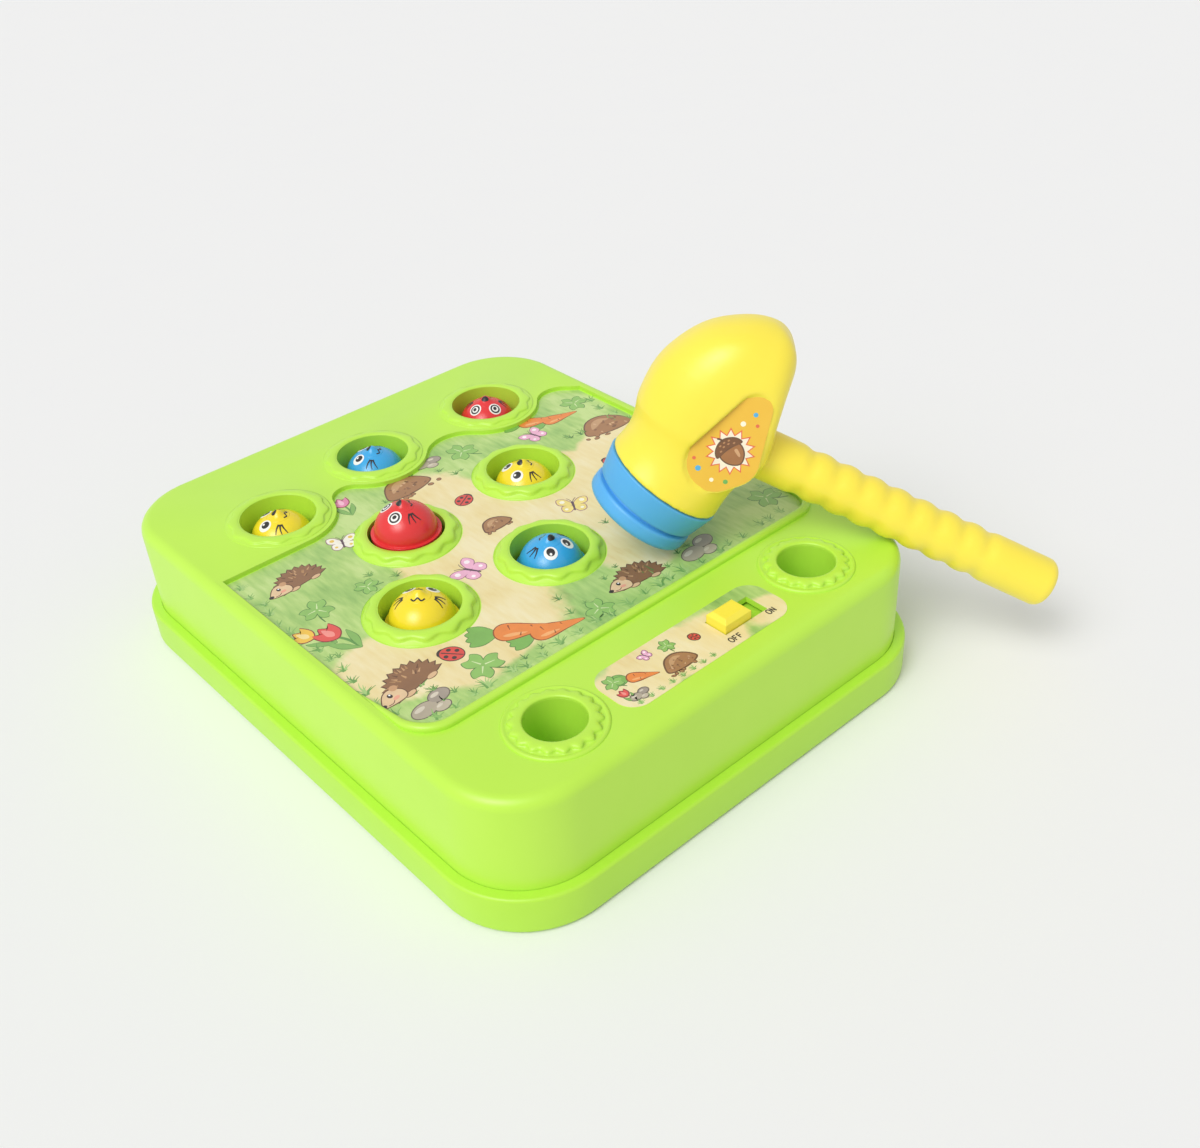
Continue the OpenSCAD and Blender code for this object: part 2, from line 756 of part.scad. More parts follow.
module motor_pinion() color("white") translate([motor_at.x, motor_at.y, 0]) difference() {
    gear(motor_module, pinion_teeth, motor_turn + 180 + 180 / pinion_teeth, big_z, big_z + big_face);
    rod([0, 0], shaft_r + press_gap, 0, big_z + big_face + over);
}

module idler_gear() color("orange") translate([idler_at.x, idler_at.y, 0]) difference() {
    union() {
        gear(motor_module, big_teeth, motor_turn, big_z, big_z + big_face);
        gear(rim_module, small_teeth, idler_turn + 180 + 180 / small_teeth, big_z + big_face / 2, plate_top);
    }
    rod([0, 0], axle_r + run_gap, 0, plate_top + over);
}

module idler_axle() color("silver") {
    rod(idler_at, axle_r, floor_z / 2, plate_top + pass_gap);
    rod(idler_at, axle_head_r, plate_top + pass_gap, plate_top + pass_gap + axle_head_t);
}

// Round hill on the cam plate: a cap of a sphere, trimmed where it would reach the rim's tooth gaps
module hill(track, turn) {
    ball = (hill_r * hill_r + hill_h * hill_h) / (2 * hill_h);
    rotate([0, 0, turn]) intersection() {
        translate([track, 0, crest_z - ball]) sphere(r = ball);
        rod([0, 0], hill_edge, plate_top - wall / 2, crest_z + over);
    }
}

module cam_plate() color("lightgray") translate([cam_at.x, cam_at.y, 0]) difference() {
    union() {
        difference() {
            gear(rim_module, rim_teeth, idler_turn, rim_z, plate_top);
            rod([0, 0], rim_pitch - rim_width, rim_z - over, plate_z);
        }
        rod([0, 0], hub_r, rim_z, plate_top);
        for (t = [0:len(cam_tracks) - 1], k = [0:t])
            hill(cam_tracks[t], 360 * k / (t + 1) + hill_phase * t);
    }
    rod([0, 0], post_r + run_gap, rim_z - over, plate_top + over);
}

module cam_screw() color("silver") {
    rod(cam_at, cam_head_r, plate_top + pass_gap, plate_top + pass_gap + cam_head_t);
    rod(cam_at, screw_r, screw_seat + over, plate_top + pass_gap + over);
}

// Dome wall between an outer and an inner curve, with the base rim
module dome_profile() {
    crown = mole_h - rim_t - nose_sink;
    outer = [for (a = [0:dome_step:90]) [dome_r * cos(a), rim_t + crown * sin(a)]];
    inner = [for (a = [90:-dome_step:0]) [(dome_r - dome_t) * cos(a), rim_t + (crown - dome_t) * sin(a)]];
    polygon(concat([[dome_r - dome_t, 0], [rim_r, 0], [rim_r, rim_t]], outer, inner));
}

module mole_dome(i) color(mole_colour[i])
    translate([mole_at[i].x, mole_at[i].y, dome_z + mole_lift[i]]) difference() {
        union() {
            rotate_extrude() dome_profile();
            rod([0, 0], stem_r + dome_t, 0, mole_h - 2 * nose_r);
            translate([0, 0, mole_h - nose_r]) sphere(r = nose_r);
        }
        rod([0, 0], stem_r + fit_gap / 2, -over, socket_h);
    }

module mole_plunger(i) color("white") translate([0, 0, mole_lift[i]]) {
    rod(mole_at[i], foot_r, foot_z, foot_top);
    rod(mole_at[i], stem_r, foot_top - foot_t / 2, dome_z + socket_h - fit_gap);
}

// Hammer frame: the handle runs along -Z from the head, the striking face looks along +X
module on_board() {
    translate(hammer_at) rotate(hammer_turn) children();
}

module at_ring() {
    translate([ring_end_x, 0, ring_end_z]) rotate([0, 90 - face_lean, 0]) children();
}

function blend(a, b, t) = a + (b - a) * t;
function keep_sign(v, p) = sign(v) * pow(abs(v), p);

// One cross-section of the head: s runs from -1 at the tail over 0 at the handle to 1 at the ring
function head_ring(s, cut) =
    let (
        u = max(-s, 0),
        v = max(s, 0),
        middle = (head_top - head_under) / 2,
        neck_h = blend((head_top + head_under) / 2, ring_end_r, v) - waist * sin(180 * v) - cut,
        tail_up = tail_z + (head_top - cut - tail_z) * pow(1 - pow(u, top_curve[0]), 1 / top_curve[1]),
        tail_down = tail_z - (head_under + tail_z - cut - tail_drop * u) * sqrt(1 - pow(u, under_curve)),
        zc = s > 0 ? blend(middle, ring_end_z, v) : blend(middle, tail_z, u * u),
        up = s > 0 ? neck_h : tail_up - zc,
        down = s > 0 ? neck_h : zc - tail_down,
        side = s > 0 ? blend(head_y, ring_end_r, v) - waist * sin(180 * v) - cut
                     : (head_y - cut) * pow(1 - pow(u, side_curve[0]), 1 / side_curve[1]),
        x = s > 0 ? (ring_end_x - cut) * v : -(tail_x - cut) * u,
        lean = face_lean * v
    )
    [for (j = [0:head_sides - 1])
        let (
            a = 360 * j / head_sides,
            p = 2 / blend(sin(a) > 0 ? upper_power : lower_power, 2, sqrt(v)),
            h = (sin(a) > 0 ? up : down) * keep_sign(sin(a), p)
        )
        [x - h * sin(lean), side * keep_sign(cos(a), p), zc + h * cos(lean)]];

// Closed skin through the head's cross-sections, shrunk by a cut
module head_skin(cut) {
    stations = concat(
        [for (k = [head_stations:-1:0]) -tail_end * sin(90 * k / head_stations)],
        [for (k = [1:neck_stations]) k / neck_stations]
    );
    rows = len(stations);
    points = [for (s = stations) each head_ring(s, cut)];
    sides = [for (i = [0:rows - 2], j = [0:head_sides - 1])
        let (
            n = (j + 1) % head_sides,
            a = i * head_sides + j,
            b = i * head_sides + n,
            c = a + head_sides,
            d = b + head_sides
        )
        each [[a, d, b], [a, c, d]]];
    first = [for (j = [0:head_sides - 1]) j];
    last = [for (j = [head_sides - 1:-1:0]) (rows - 1) * head_sides + j];
    polyhedron(points, concat([first], sides, [last]));
}

// Outline of a cheek's recess, shrunk by a gap
module cheek_outline(gap) {
    hull() for (c = cheek_lobes) translate([c.x, c.y]) circle(r = c.z - gap, $fn = 32);
}

module hammer_head() color("yellow") on_board() difference() {
    union() {
        head_skin(0);
        translate([0, 0, neck_end])
            cylinder(r1 = handle_r + fit_gap, r2 = handle_r + neck_flare, h = neck_z - neck_end);
        translate([0, 0, neck_z - over]) cylinder(r = handle_r + neck_flare - over, h = plug_l / 2);
        at_ring() translate([0, 0, -hammer_wall / 2]) cylinder(r = spigot_r, h = spigot_l + hammer_wall / 2);
    }
    head_skin(hammer_wall);
    at_ring() cylinder(r = spigot_r - hammer_wall, h = spigot_l + over);
    translate([0, 0, neck_end - over]) cylinder(r = plug_r + fit_gap, h = plug_l + over + fit_gap);
    for (side = [-1, 1])
        translate([0, side * (cheek_y + head_y / 2), 0]) rotate([90, 0, 0])
            linear_extrude(head_y, center = true) cheek_outline(0);
}

module hammer_handle() color("yellow") on_board() difference() {
    tip = [for (a = [-90:tip_step:0])
        [handle_r - tip_r + tip_r * cos(a), tip_r - handle_l + tip_r * sin(a)]];
    rings = [for (k = [rib_count * rib_steps:-1:0])
        let (f = k / rib_steps - 1 / 2, low = (1 + cos(360 * f)) / 2)
        [handle_r - rib_depth * pow(low, rib_curve), -rib_start - rib_pitch * f]];
    union() {
        rotate_extrude() polygon(concat(
            [[0, -handle_l]], tip, rings, [[handle_r, neck_end - fit_gap], [0, neck_end - fit_gap]]
        ));
        translate([0, 0, neck_end - over]) cylinder(r = plug_r, h = plug_l + over);
    }
    translate([0, 0, tip_r - handle_l])
        cylinder(r = handle_r - rib_depth - hammer_wall, h = handle_l + plug_l);
}

module hammer_cap() color("deepskyblue") on_board() at_ring() {
    face = band_l + pad_l;
    socket_r = spigot_r + fit_gap;
    socket_l = spigot_l + fit_gap;
    core_r = socket_r - pad_step;
    neck_r = band_r - groove;
    pad_r = band_r - pad_step;
    rotate_extrude() polygon([
        [socket_r, fit_gap], [ring_end_r, fit_gap], [band_r, band_l], [neck_r, band_l + pad_step],
        [neck_r, band_l + groove_w - pad_step], [pad_r, band_l + groove_w], [pad_r, face - pad_edge],
        [pad_r - pad_edge / 3, face - pad_edge / 3], [pad_r - pad_edge, face],
        [0, face], [0, face - pad_t], [core_r, face - pad_t], [core_r, socket_l], [socket_r, socket_l]
    ]);
}

module hammer_sheet(side) color("orange") on_board()
    translate([0, side * (cheek_y + sheet_t / 2), 0]) rotate([90, 0, 0])
        linear_extrude(sheet_t, center = true) cheek_outline(cheek_gap);

base_tray();
top_shell();
play_sheet();
switch_sheet();
guide_deck();
case_screws();
small_screws();
battery_door();
battery_cells();
battery_contacts();
switch_body();
switch_knob();
motor_can();
motor_cradle();
motor_shaft();
motor_pinion();
idler_gear();
idler_axle();
cam_plate();
cam_screw();
for (i = mole_ids) mole_dome(i);
for (i = mole_ids) mole_plunger(i);
hammer_head();
hammer_handle();
hammer_cap();
hammer_sheet(1);  // hammer_sheet_left
hammer_sheet(-1);  // hammer_sheet_right
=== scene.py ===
# %% [markdown]
# # A whack-a-mole game, dressed in Blender
# The solids of the game come from a CAD model: a lime green board, eight moles in round wells, a switch
# and a toy hammer that lies across one corner. This lesson keeps that model as a fixed frame and adds what
# a CAD model lacks: plastics that look moulded, printed sheets, painted faces, and the soft blends of a
# blown hammer.

import math
import random
from collections import namedtuple

import bmesh
import bpy
import numpy as np
from mathutils import Matrix, Vector


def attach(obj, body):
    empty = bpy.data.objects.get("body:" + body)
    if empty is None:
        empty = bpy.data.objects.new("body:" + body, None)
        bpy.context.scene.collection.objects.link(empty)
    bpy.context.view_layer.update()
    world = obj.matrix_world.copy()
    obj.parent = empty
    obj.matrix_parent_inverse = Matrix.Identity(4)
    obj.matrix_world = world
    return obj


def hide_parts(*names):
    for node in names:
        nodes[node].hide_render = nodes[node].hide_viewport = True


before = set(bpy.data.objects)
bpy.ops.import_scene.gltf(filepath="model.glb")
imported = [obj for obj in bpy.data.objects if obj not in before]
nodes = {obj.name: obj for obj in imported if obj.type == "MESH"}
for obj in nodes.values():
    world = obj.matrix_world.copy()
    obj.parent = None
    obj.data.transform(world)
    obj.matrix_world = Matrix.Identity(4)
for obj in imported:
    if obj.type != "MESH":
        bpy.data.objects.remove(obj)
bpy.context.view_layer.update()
scene = bpy.context.scene
MM = 0.001

# %% [markdown]
# ## Camera
# The photograph looks down on the board from its front left corner. The place and the three directions
# were solved from the corners of the board, so they are written as they came out. A camera looks along its
# own -Z, which is why the third column of its matrix points backwards.

# %% Camera
eye = Vector((-264.8, -372.4, 354.1)) * MM
to_right = Vector((0.7401, -0.6706, -0.0506)).normalized()
to_back = to_right.cross(Vector((0.4209, 0.4032, 0.8125))).normalized()
to_top = to_back.cross(to_right)
camera = bpy.data.objects.new("camera", bpy.data.cameras.new("camera"))
camera.data.sensor_width = 36
camera.data.lens = 40.26
camera.data.clip_start = 0.01
camera.matrix_world = Matrix.Translation(eye) @ Matrix((to_right, to_top, to_back)).transposed().to_4x4()
scene.collection.objects.link(camera)
scene.camera = camera
scene.view_settings.view_transform = "Standard"
print("camera: lens", camera.data.lens, "mm")

# %% [markdown]
# ## Colours and shader nodes
# Colours are picked as sRGB hex values, the way paint programs write them, and Blender's shaders want
# linear light, so one function converts them. A second small function adds a shader node, sets its sockets
# or properties by name, and links its inputs. With these two, every material below reads as a short list.

# %% Colour and node helpers
def linear(code):
    parts = [int(code[i:i + 2], 16) / 255 for i in (1, 3, 5)]
    return [c / 12.92 if c <= 0.04045 else ((c + 0.055) / 1.055) ** 2.4 for c in parts] + [1.0]


def add(tree, kind, settings=(), links=()):
    node = tree.nodes.new(kind)
    for key, value in dict(settings).items():
        if isinstance(key, int) or key in node.inputs:
            node.inputs[key].default_value = value
        else:
            setattr(node, key, value)
    for key, source in dict(links).items():
        tree.links.new(source, node.inputs[key])
    return node


def blank(name):
    material = bpy.data.materials.new(name)
    material.use_nodes = True
    material.node_tree.nodes.clear()
    return material, material.node_tree


print("lime in linear light:", [round(c, 3) for c in linear("#BEEB46")])

# %% [markdown]
# ## Studio
# The toy stands on a white sweep with one broad soft light from the left and pale light all around. A sun
# lamp lights the whole floor evenly, and its wide angle gives the soft edge that a large diffuser gives. A
# second, narrower sun from the same side is the bright middle of that diffuser and draws the glints on
# round forms. Where the camera or a reflection looks past the object, it sees the same pale grey.

# %% World and lamps
PALE, PALE_WARM = "#EFEFEF", "#F0F0EF"
KEY_FROM = Vector((-0.62, -0.14, 0.77))
scene.world = bpy.data.worlds.new("studio")
scene.world.use_nodes = True
air = scene.world.node_tree
air.nodes.clear()
rays = add(air, "ShaderNodeLightPath")
seen = rays.outputs["Is Camera Ray"]
for kind in ("Is Glossy Ray", "Is Transmission Ray"):
    seen = add(air, "ShaderNodeMath", {"operation": "MAXIMUM"}, {0: seen, 1: rays.outputs[kind]}).outputs[0]
fill = add(air, "ShaderNodeBackground", {"Color": (1, 1, 1, 1), "Strength": 0.5})
shown = add(air, "ShaderNodeBackground", {"Color": linear(PALE), "Strength": 1.0})
sky = add(air, "ShaderNodeMixShader", {}, {0: seen, 1: fill.outputs[0], 2: shown.outputs[0]})
add(air, "ShaderNodeOutputWorld", {}, {"Surface": sky.outputs[0]})

for name, energy, wide in (("soft_key", 1.4, 46), ("soft_core", 0.65, 22)):
    lamp = bpy.data.lights.new(name, "SUN")
    lamp.energy = energy
    lamp.angle = math.radians(wide)
    key = bpy.data.objects.new(name, lamp)
    key.rotation_euler = KEY_FROM.to_track_quat("Z", "Y").to_euler()
    scene.collection.objects.link(key)
print("lamps:", len(bpy.data.lights), "suns from one side")

# %% Floor
FLOOR_HALF, FLOOR_Z = 8.0, -0.0002
paper, tree = blank("seamless background paper, matt")
grain = add(tree, "ShaderNodeTexNoise", {"Scale": 400.0, "Detail": 2.0})
tone = add(tree, "ShaderNodeMix", {"data_type": "RGBA", 6: linear(PALE), 7: linear(PALE_WARM)},
           {0: grain.outputs["Fac"]})
skin = add(tree, "ShaderNodeBsdfPrincipled", {"Roughness": 0.9, "Specular IOR Level": 0.1},
           {"Base Color": tone.outputs[2]})
add(tree, "ShaderNodeOutputMaterial", {}, {"Surface": skin.outputs[0]})

CORNERS = ((-1, -1), (1, -1), (1, 1), (-1, 1))
sweep = bpy.data.meshes.new("floor")
sweep.from_pydata([(x * FLOOR_HALF, y * FLOOR_HALF, FLOOR_Z) for x, y in CORNERS], [], [(0, 1, 2, 3)])
floor = bpy.data.objects.new("floor", sweep)
floor.data.materials.append(paper)
scene.collection.objects.link(floor)
print("floor:", 2 * FLOOR_HALF, "m wide")

# %% [markdown]
# ## Moulded plastics
# The board, the moles and the knob are ABS, and the hammer is blown polyethylene. Moulded ABS takes the
# surface of its steel mould: a satin that was eroded by sparks, about half a millimetre from pit to pit,
# with a faint clouding where the melt flowed. Blown polyethylene is waxier, and light enters it before it
# comes back. A Bevel node rounds sharp CAD edges by a fraction of a millimetre in the shading, as every
# moulded edge is.

# %% Plastic
def plastic(name, colour, shade, rough, pit=0.5, depth=0.02, edge=0.4, wax=0.0, cloud=30.0):
    material, tree = blank(name)
    place = add(tree, "ShaderNodeTexCoord").outputs["Object"]
    flow = add(tree, "ShaderNodeTexNoise", {"Scale": 1 / (cloud * MM), "Detail": 3.0}, {"Vector": place})
    pits = add(tree, "ShaderNodeTexNoise", {"Scale": 1 / (pit * MM), "Detail": 2.0}, {"Vector": place})
    tone = add(tree, "ShaderNodeMix", {"data_type": "RGBA", 6: linear(colour), 7: linear(shade)},
               {0: flow.outputs["Fac"]})
    gloss = add(tree, "ShaderNodeMapRange", {"To Min": rough - 0.04, "To Max": rough + 0.06},
                {"Value": pits.outputs["Fac"]})
    soft = add(tree, "ShaderNodeBevel", {"samples": 6, "Radius": edge * MM})
    relief = add(tree, "ShaderNodeBump", {"Strength": 0.35, "Distance": depth * MM},
                 {"Height": pits.outputs["Fac"], "Normal": soft.outputs[0]})
    skin = add(tree, "ShaderNodeBsdfPrincipled",
               {"IOR": 1.5, "Subsurface Weight": wax, "Subsurface Scale": 4 * MM,
                "Subsurface Radius": (1.0, 0.7, 0.3)},
               {"Base Color": tone.outputs[2], "Roughness": gloss.outputs[0], "Normal": relief.outputs[0]})
    add(tree, "ShaderNodeOutputMaterial", {}, {"Surface": skin.outputs[0]})
    return material


lime = plastic("ABS, moulded, lime green", "#C1EE52", "#B9EA46", 0.34)
# Painted shade: the lower half, the switch and the slot guards take a darker copy of the same lime plastic.
lime_darker_shade = plastic("ABS, moulded, lime green, darker copy as painted shade", "#BAEA48", "#B0E33E", 0.36)
yellow_blown = plastic("polyethylene, blown, yellow", "#FEEA50", "#FCE446", 0.34, depth=0.012, wax=0.15)
blue_cap = plastic("polyethylene, moulded, sky blue", "#5AB3EE", "#50A9E6", 0.4, wax=0.1)
knob_yellow = plastic("ABS, moulded, yellow", "#FEEE50", "#FCE744", 0.3)
mole_red = plastic("ABS, gloss moulded, red", "#E8383A", "#DE2E32", 0.24, pit=0.8, depth=0.008)
mole_yellow = plastic("ABS, gloss moulded, warm yellow", "#FBE22E", "#F7D924", 0.24, pit=0.8, depth=0.008)
mole_blue = plastic("ABS, gloss moulded, light blue", "#3FAEEA", "#34A2E0", 0.24, pit=0.8, depth=0.008)
natural = plastic("acetal, moulded, natural white", "#E9E8E0", "#E2E0D6", 0.32)
# Painted shade: the guide deck is made black so the gaps round the domes show dark, like deep shade in the
# wells.
deck_black_for_shade = plastic("ABS, black as painted shade in the wells", "#1C1C1E", "#222224", 0.45)
print("plastics:", len(bpy.data.materials) - 1)

# %% [markdown]
# ## Metals and cells
# The screws and contacts are zinc or nickel plated steel: a metal whose roughness changes in fine streaks
# from drawing and rolling. The cells wear a printed shrink sleeve, a smooth film that is grey here.

# %% Metal and sleeve
def plated(name, colour, rough, streak=0.6):
    material, tree = blank(name)
    place = add(tree, "ShaderNodeTexCoord").outputs["Object"]
    drawn = add(tree, "ShaderNodeMapping", {"Scale": (1.0, 1.0, 0.12)}, {"Vector": place})
    streaks = add(tree, "ShaderNodeTexNoise", {"Scale": 1 / (streak * MM), "Detail": 3.0},
                  {"Vector": drawn.outputs[0]})
    tone = add(tree, "ShaderNodeMix", {"data_type": "RGBA", 6: linear(colour), 7: linear("#8F9193")},
               {0: streaks.outputs["Fac"]})
    gloss = add(tree, "ShaderNodeMapRange", {"To Min": rough, "To Max": rough + 0.2},
                {"Value": streaks.outputs["Fac"]})
    skin = add(tree, "ShaderNodeBsdfPrincipled", {"Metallic": 1.0},
               {"Base Color": tone.outputs[2], "Roughness": gloss.outputs[0]})
    add(tree, "ShaderNodeOutputMaterial", {}, {"Surface": skin.outputs[0]})
    return material


zinc = plated("steel, zinc plated", "#C9CBCD", 0.25)
nickel = plated("steel, nickel plated", "#D2CFC8", 0.18)
sleeve = plastic("PVC shrink sleeve, grey", "#4A4C50", "#55575A", 0.25, pit=2.0, depth=0.01)
print("metals:", zinc.name, "and", nickel.name)

# %% [markdown]
# ## Dressing the CAD nodes
# Most pieces of the game are right as the CAD has them, so they keep their meshes and only get a material.
# A modifier made of geometry nodes welds the tessellated faces and shades gentle angles smooth, and leaves
# edges above about 30 degrees crisp, without a change to the mesh itself.

# %% Smooth shading as a modifier
def smoother(degrees):
    group = bpy.data.node_groups.new("smooth_by_angle", "GeometryNodeTree")
    group.interface.new_socket("Geometry", in_out="INPUT", socket_type="NodeSocketGeometry")
    group.interface.new_socket("Geometry", in_out="OUTPUT", socket_type="NodeSocketGeometry")
    start = add(group, "NodeGroupInput")
    plain = add(group, "GeometryNodeRemoveAttribute", {"Name": "custom_normal"},
                {"Geometry": start.outputs[0]})
    weld = add(group, "GeometryNodeMergeByDistance", {"Distance": 1e-6}, {"Geometry": plain.outputs[0]})
    faces = add(group, "GeometryNodeSetShadeSmooth", {"domain": "FACE"}, {0: weld.outputs[0]})
    angle = add(group, "GeometryNodeInputMeshEdgeAngle")
    gentle = add(group, "FunctionNodeCompare", {"operation": "LESS_THAN", 1: math.radians(degrees)},
                 {0: angle.outputs[0]})
    edges = add(group, "GeometryNodeSetShadeSmooth", {"domain": "EDGE"},
                {0: faces.outputs[0], "Selection": gentle.outputs[0]})
    sharp = add(group, "FunctionNodeBooleanMath", {"operation": "NOT"}, {0: gentle.outputs[0]})
    crisp = add(group, "GeometryNodeSetShadeSmooth", {"domain": "EDGE", "Shade Smooth": False},
                {0: edges.outputs[0], "Selection": sharp.outputs[0]})
    add(group, "NodeGroupOutput", {}, {0: crisp.outputs[0]})
    return group


by_angle = smoother(30)


def dress(node, material):
    piece = nodes[node]
    piece.data.materials.clear()
    piece.data.materials.append(material)
    piece.modifiers.new("smooth_by_angle", "NODES").node_group = by_angle


dress("top_shell", lime)
# painted shade: the lower parts get the darker copy of the lime
for name in ("base_tray", "battery_door", "switch_body"):
    dress(name, lime_darker_shade)
# painted shade: the black deck darkens the gaps round the moles
dress("guide_deck", deck_black_for_shade)
for name in ("cam_plate", "idler_gear", "motor_pinion", "motor_cradle"):
    dress(name, natural)
for name in ("case_screws", "small_screws", "cam_screw", "idler_axle", "motor_can"):
    dress(name, zinc)
for name in ("battery_contacts", "motor_shaft"):
    dress(name, nickel)
dress("battery_cells", sleeve)
dress("switch_knob", knob_yellow)
MOLE_SKINS = [mole_yellow, mole_blue, mole_red, mole_red, mole_yellow, mole_blue, mole_yellow, mole_blue]
for number, skin in enumerate(MOLE_SKINS, 1):
    dress(f"mole_{number}_dome", skin)
    dress(f"mole_{number}_plunger", natural)
print("dressed:", sum(1 for n in nodes.values() if n.modifiers), "nodes")

# %% [markdown]
# ## A mesh from rings
# Collars, the handle and other round pieces are lofts: rows of points, one row after the other, joined by
# quads. One function turns points and faces into an object that rides on a CAD body, and lets bmesh turn
# every face outwards, so the lists below need no care about the order of corners.

# %% Loft helper
def piece_from(name, points, faces, material, body, smooth=True):
    mesh = bpy.data.meshes.new(name)
    mesh.from_pydata([tuple(p) for p in points], [], faces)
    turned = bmesh.new()
    turned.from_mesh(mesh)
    bmesh.ops.recalc_face_normals(turned, faces=turned.faces)
    turned.to_mesh(mesh)
    turned.free()
    mesh.polygons.foreach_set("use_smooth", [smooth] * len(mesh.polygons))
    made = bpy.data.objects.new(name, mesh)
    made.data.materials.append(material)
    scene.collection.objects.link(made)
    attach(made, body)
    return made


def loft_faces(rows, sides, wrap_rows=False):
    count = rows if wrap_rows else rows - 1
    return [(i * sides + j, i * sides + (j + 1) % sides,
             (i + 1) % rows * sides + (j + 1) % sides, (i + 1) % rows * sides + j)
            for i in range(count) for j in range(sides)]


def capped_loft(rows, sides):
    last = (rows - 1) * sides
    return loft_faces(rows, sides) + [tuple(range(sides)), tuple(range(last, last + sides))]


print("a ring of 3 rows and 8 sides has", len(loft_faces(3, 8)), "faces")

# %% [markdown]
# ## Collars of the wells
# Each mole sits in a well with a raised collar: a rounded rim with a crust of twelve lobes, like a pie,
# over a sloping foot. The CAD collar is a cone with a scalloped step. This loft lies just over it. Its
# rows run from the bore over the rim, down the round side of the lobes, and out along the foot. The two
# hammer pockets have the same crust at a smaller size, inside a low round ring.

# %% Ring helpers
SIDES = 252
TURNS = [2 * math.pi * j / SIDES for j in range(SIDES)]


def crust(rim, lobes, mean, wave, low, squarish=0.6, steps=8):
    rows = []
    r0, z0 = rim
    for k in range(1, steps + 1):
        u = math.pi / 2 * k / steps
        row = []
        for a in TURNS:
            out = mean + wave * math.cos(lobes * a)
            row.append((r0 + (out - r0) * math.sin(u),
                        low(out) + (z0 - low(out)) * max(0.0, math.cos(u)) ** squarish))
        rows.append(row)
    return rows


def round_rows(profile):
    return [[p] * SIDES for p in profile]


def ring_piece(name, x, y, rows):
    points = [Vector((x + r * math.cos(a), y + r * math.sin(a), z)) * MM
              for row in rows for a, (r, z) in zip(TURNS, row)]
    made = piece_from(name, points, loft_faces(len(rows), SIDES, wrap_rows=True), lime, "base")


print("a ring has", SIDES, "sides")

# %% Collars
MOLE_AT = [(-61.5, 73.5), (-5, 87), (58.5, 86.5), (-30.4, 25.6), (33.5, 28.8), (2, -26), (-56.5, -20),
           (62, -22)]
BACK_MOLES = 3
STRIP_Z, PANEL_Z, COLLAR_Z = 56.2, 54.2, 57.6
WELL_R, CONE_R, CONE_TOP_R, FOOT_R, RIM_R = 15.85, 21.8, 17.05, 22.1, 17.4
LOBES, LOBE_MEAN, LOBE_WAVE = 12, 20.15, 0.7
RIM_ROUND = [(0.0, 1.0), (0.12, 0.5), (0.42, 0.17), (0.85, 0.03)]  # out from the bore, down from the top
RIM_OVER, FOOT_OVER, SUNK = 0.25, 0.15, 0.5
top = COLLAR_Z + RIM_OVER
for number, (x, y) in enumerate(MOLE_AT, 1):
    foot = STRIP_Z if number <= BACK_MOLES else PANEL_Z

    def slope(r, foot=foot):
        return foot + FOOT_OVER + (COLLAR_Z - foot) * max(0.0, CONE_R - r) / (CONE_R - CONE_TOP_R)

    edge = [(WELL_R + out, top - down) for out, down in RIM_ROUND]
    rows = round_rows([(WELL_R, foot - SUNK)] + edge + [(RIM_R, top)])
    rows += crust((RIM_R, top), LOBES, LOBE_MEAN, LOBE_WAVE, slope)
    last = rows[-1]
    for share in (0.25, 0.5, 0.75, 1.0):
        rows.append([(r + (FOOT_R - r) * share, slope(r + (FOOT_R - r) * share)) for r, _ in last])
    ring_piece(f"collar_{number}", x, y, rows + round_rows([(FOOT_R, foot - SUNK)]))
print("collars:", len(MOLE_AT), "of", LOBES, "lobes")

# %% Pocket rings
POCKET_X, POCKET_Y, POCKET_R, POCKET_RIM_R = 63.0, -105.2, 11.1, 13.0
POCKET_LOW, POCKET_FOOT, POCKET_TOP, POCKET_DIP = 55.6, 56.76, 58.5, 0.03
POCKET_LOBES, POCKET_MEAN, POCKET_WAVE, POCKET_SQUARISH = 18, 15.6, 0.75, 0.75
POCKET_ROUND = [(0.0, 0.8), (0.12, 0.4), (0.45, 0.1), (1.0, 0.0)]  # out from the bore, down from the top
OUTER_RING = [(16.7, POCKET_FOOT), (17.0, 56.84), (17.4, 57.02), (17.85, 57.06), (18.25, 56.92),
              (18.55, 56.6), (18.7, 56.2), (18.7, POCKET_LOW)]
pocket_rim = (POCKET_RIM_R, POCKET_TOP - POCKET_DIP)
edge = [(POCKET_R + out, POCKET_TOP - down) for out, down in POCKET_ROUND]
rows = round_rows([(POCKET_R, POCKET_LOW)] + edge + [pocket_rim])
rows += crust(pocket_rim, POCKET_LOBES, POCKET_MEAN, POCKET_WAVE, lambda r: POCKET_FOOT, POCKET_SQUARISH)
rows += round_rows(OUTER_RING)
for name, side in (("pocket_ring_left", -1), ("pocket_ring_right", 1)):
    ring_piece(name, side * POCKET_X, POCKET_Y, rows)
print("pocket rings: 2 of", POCKET_LOBES, "lobes")

# %% [markdown]
# ## Ends of the switch slot
# The slot that the knob slides in is a little longer than the switch below it. A small lime guard at each
# end closes the view into the case, level with the top of the switch and below the knob.

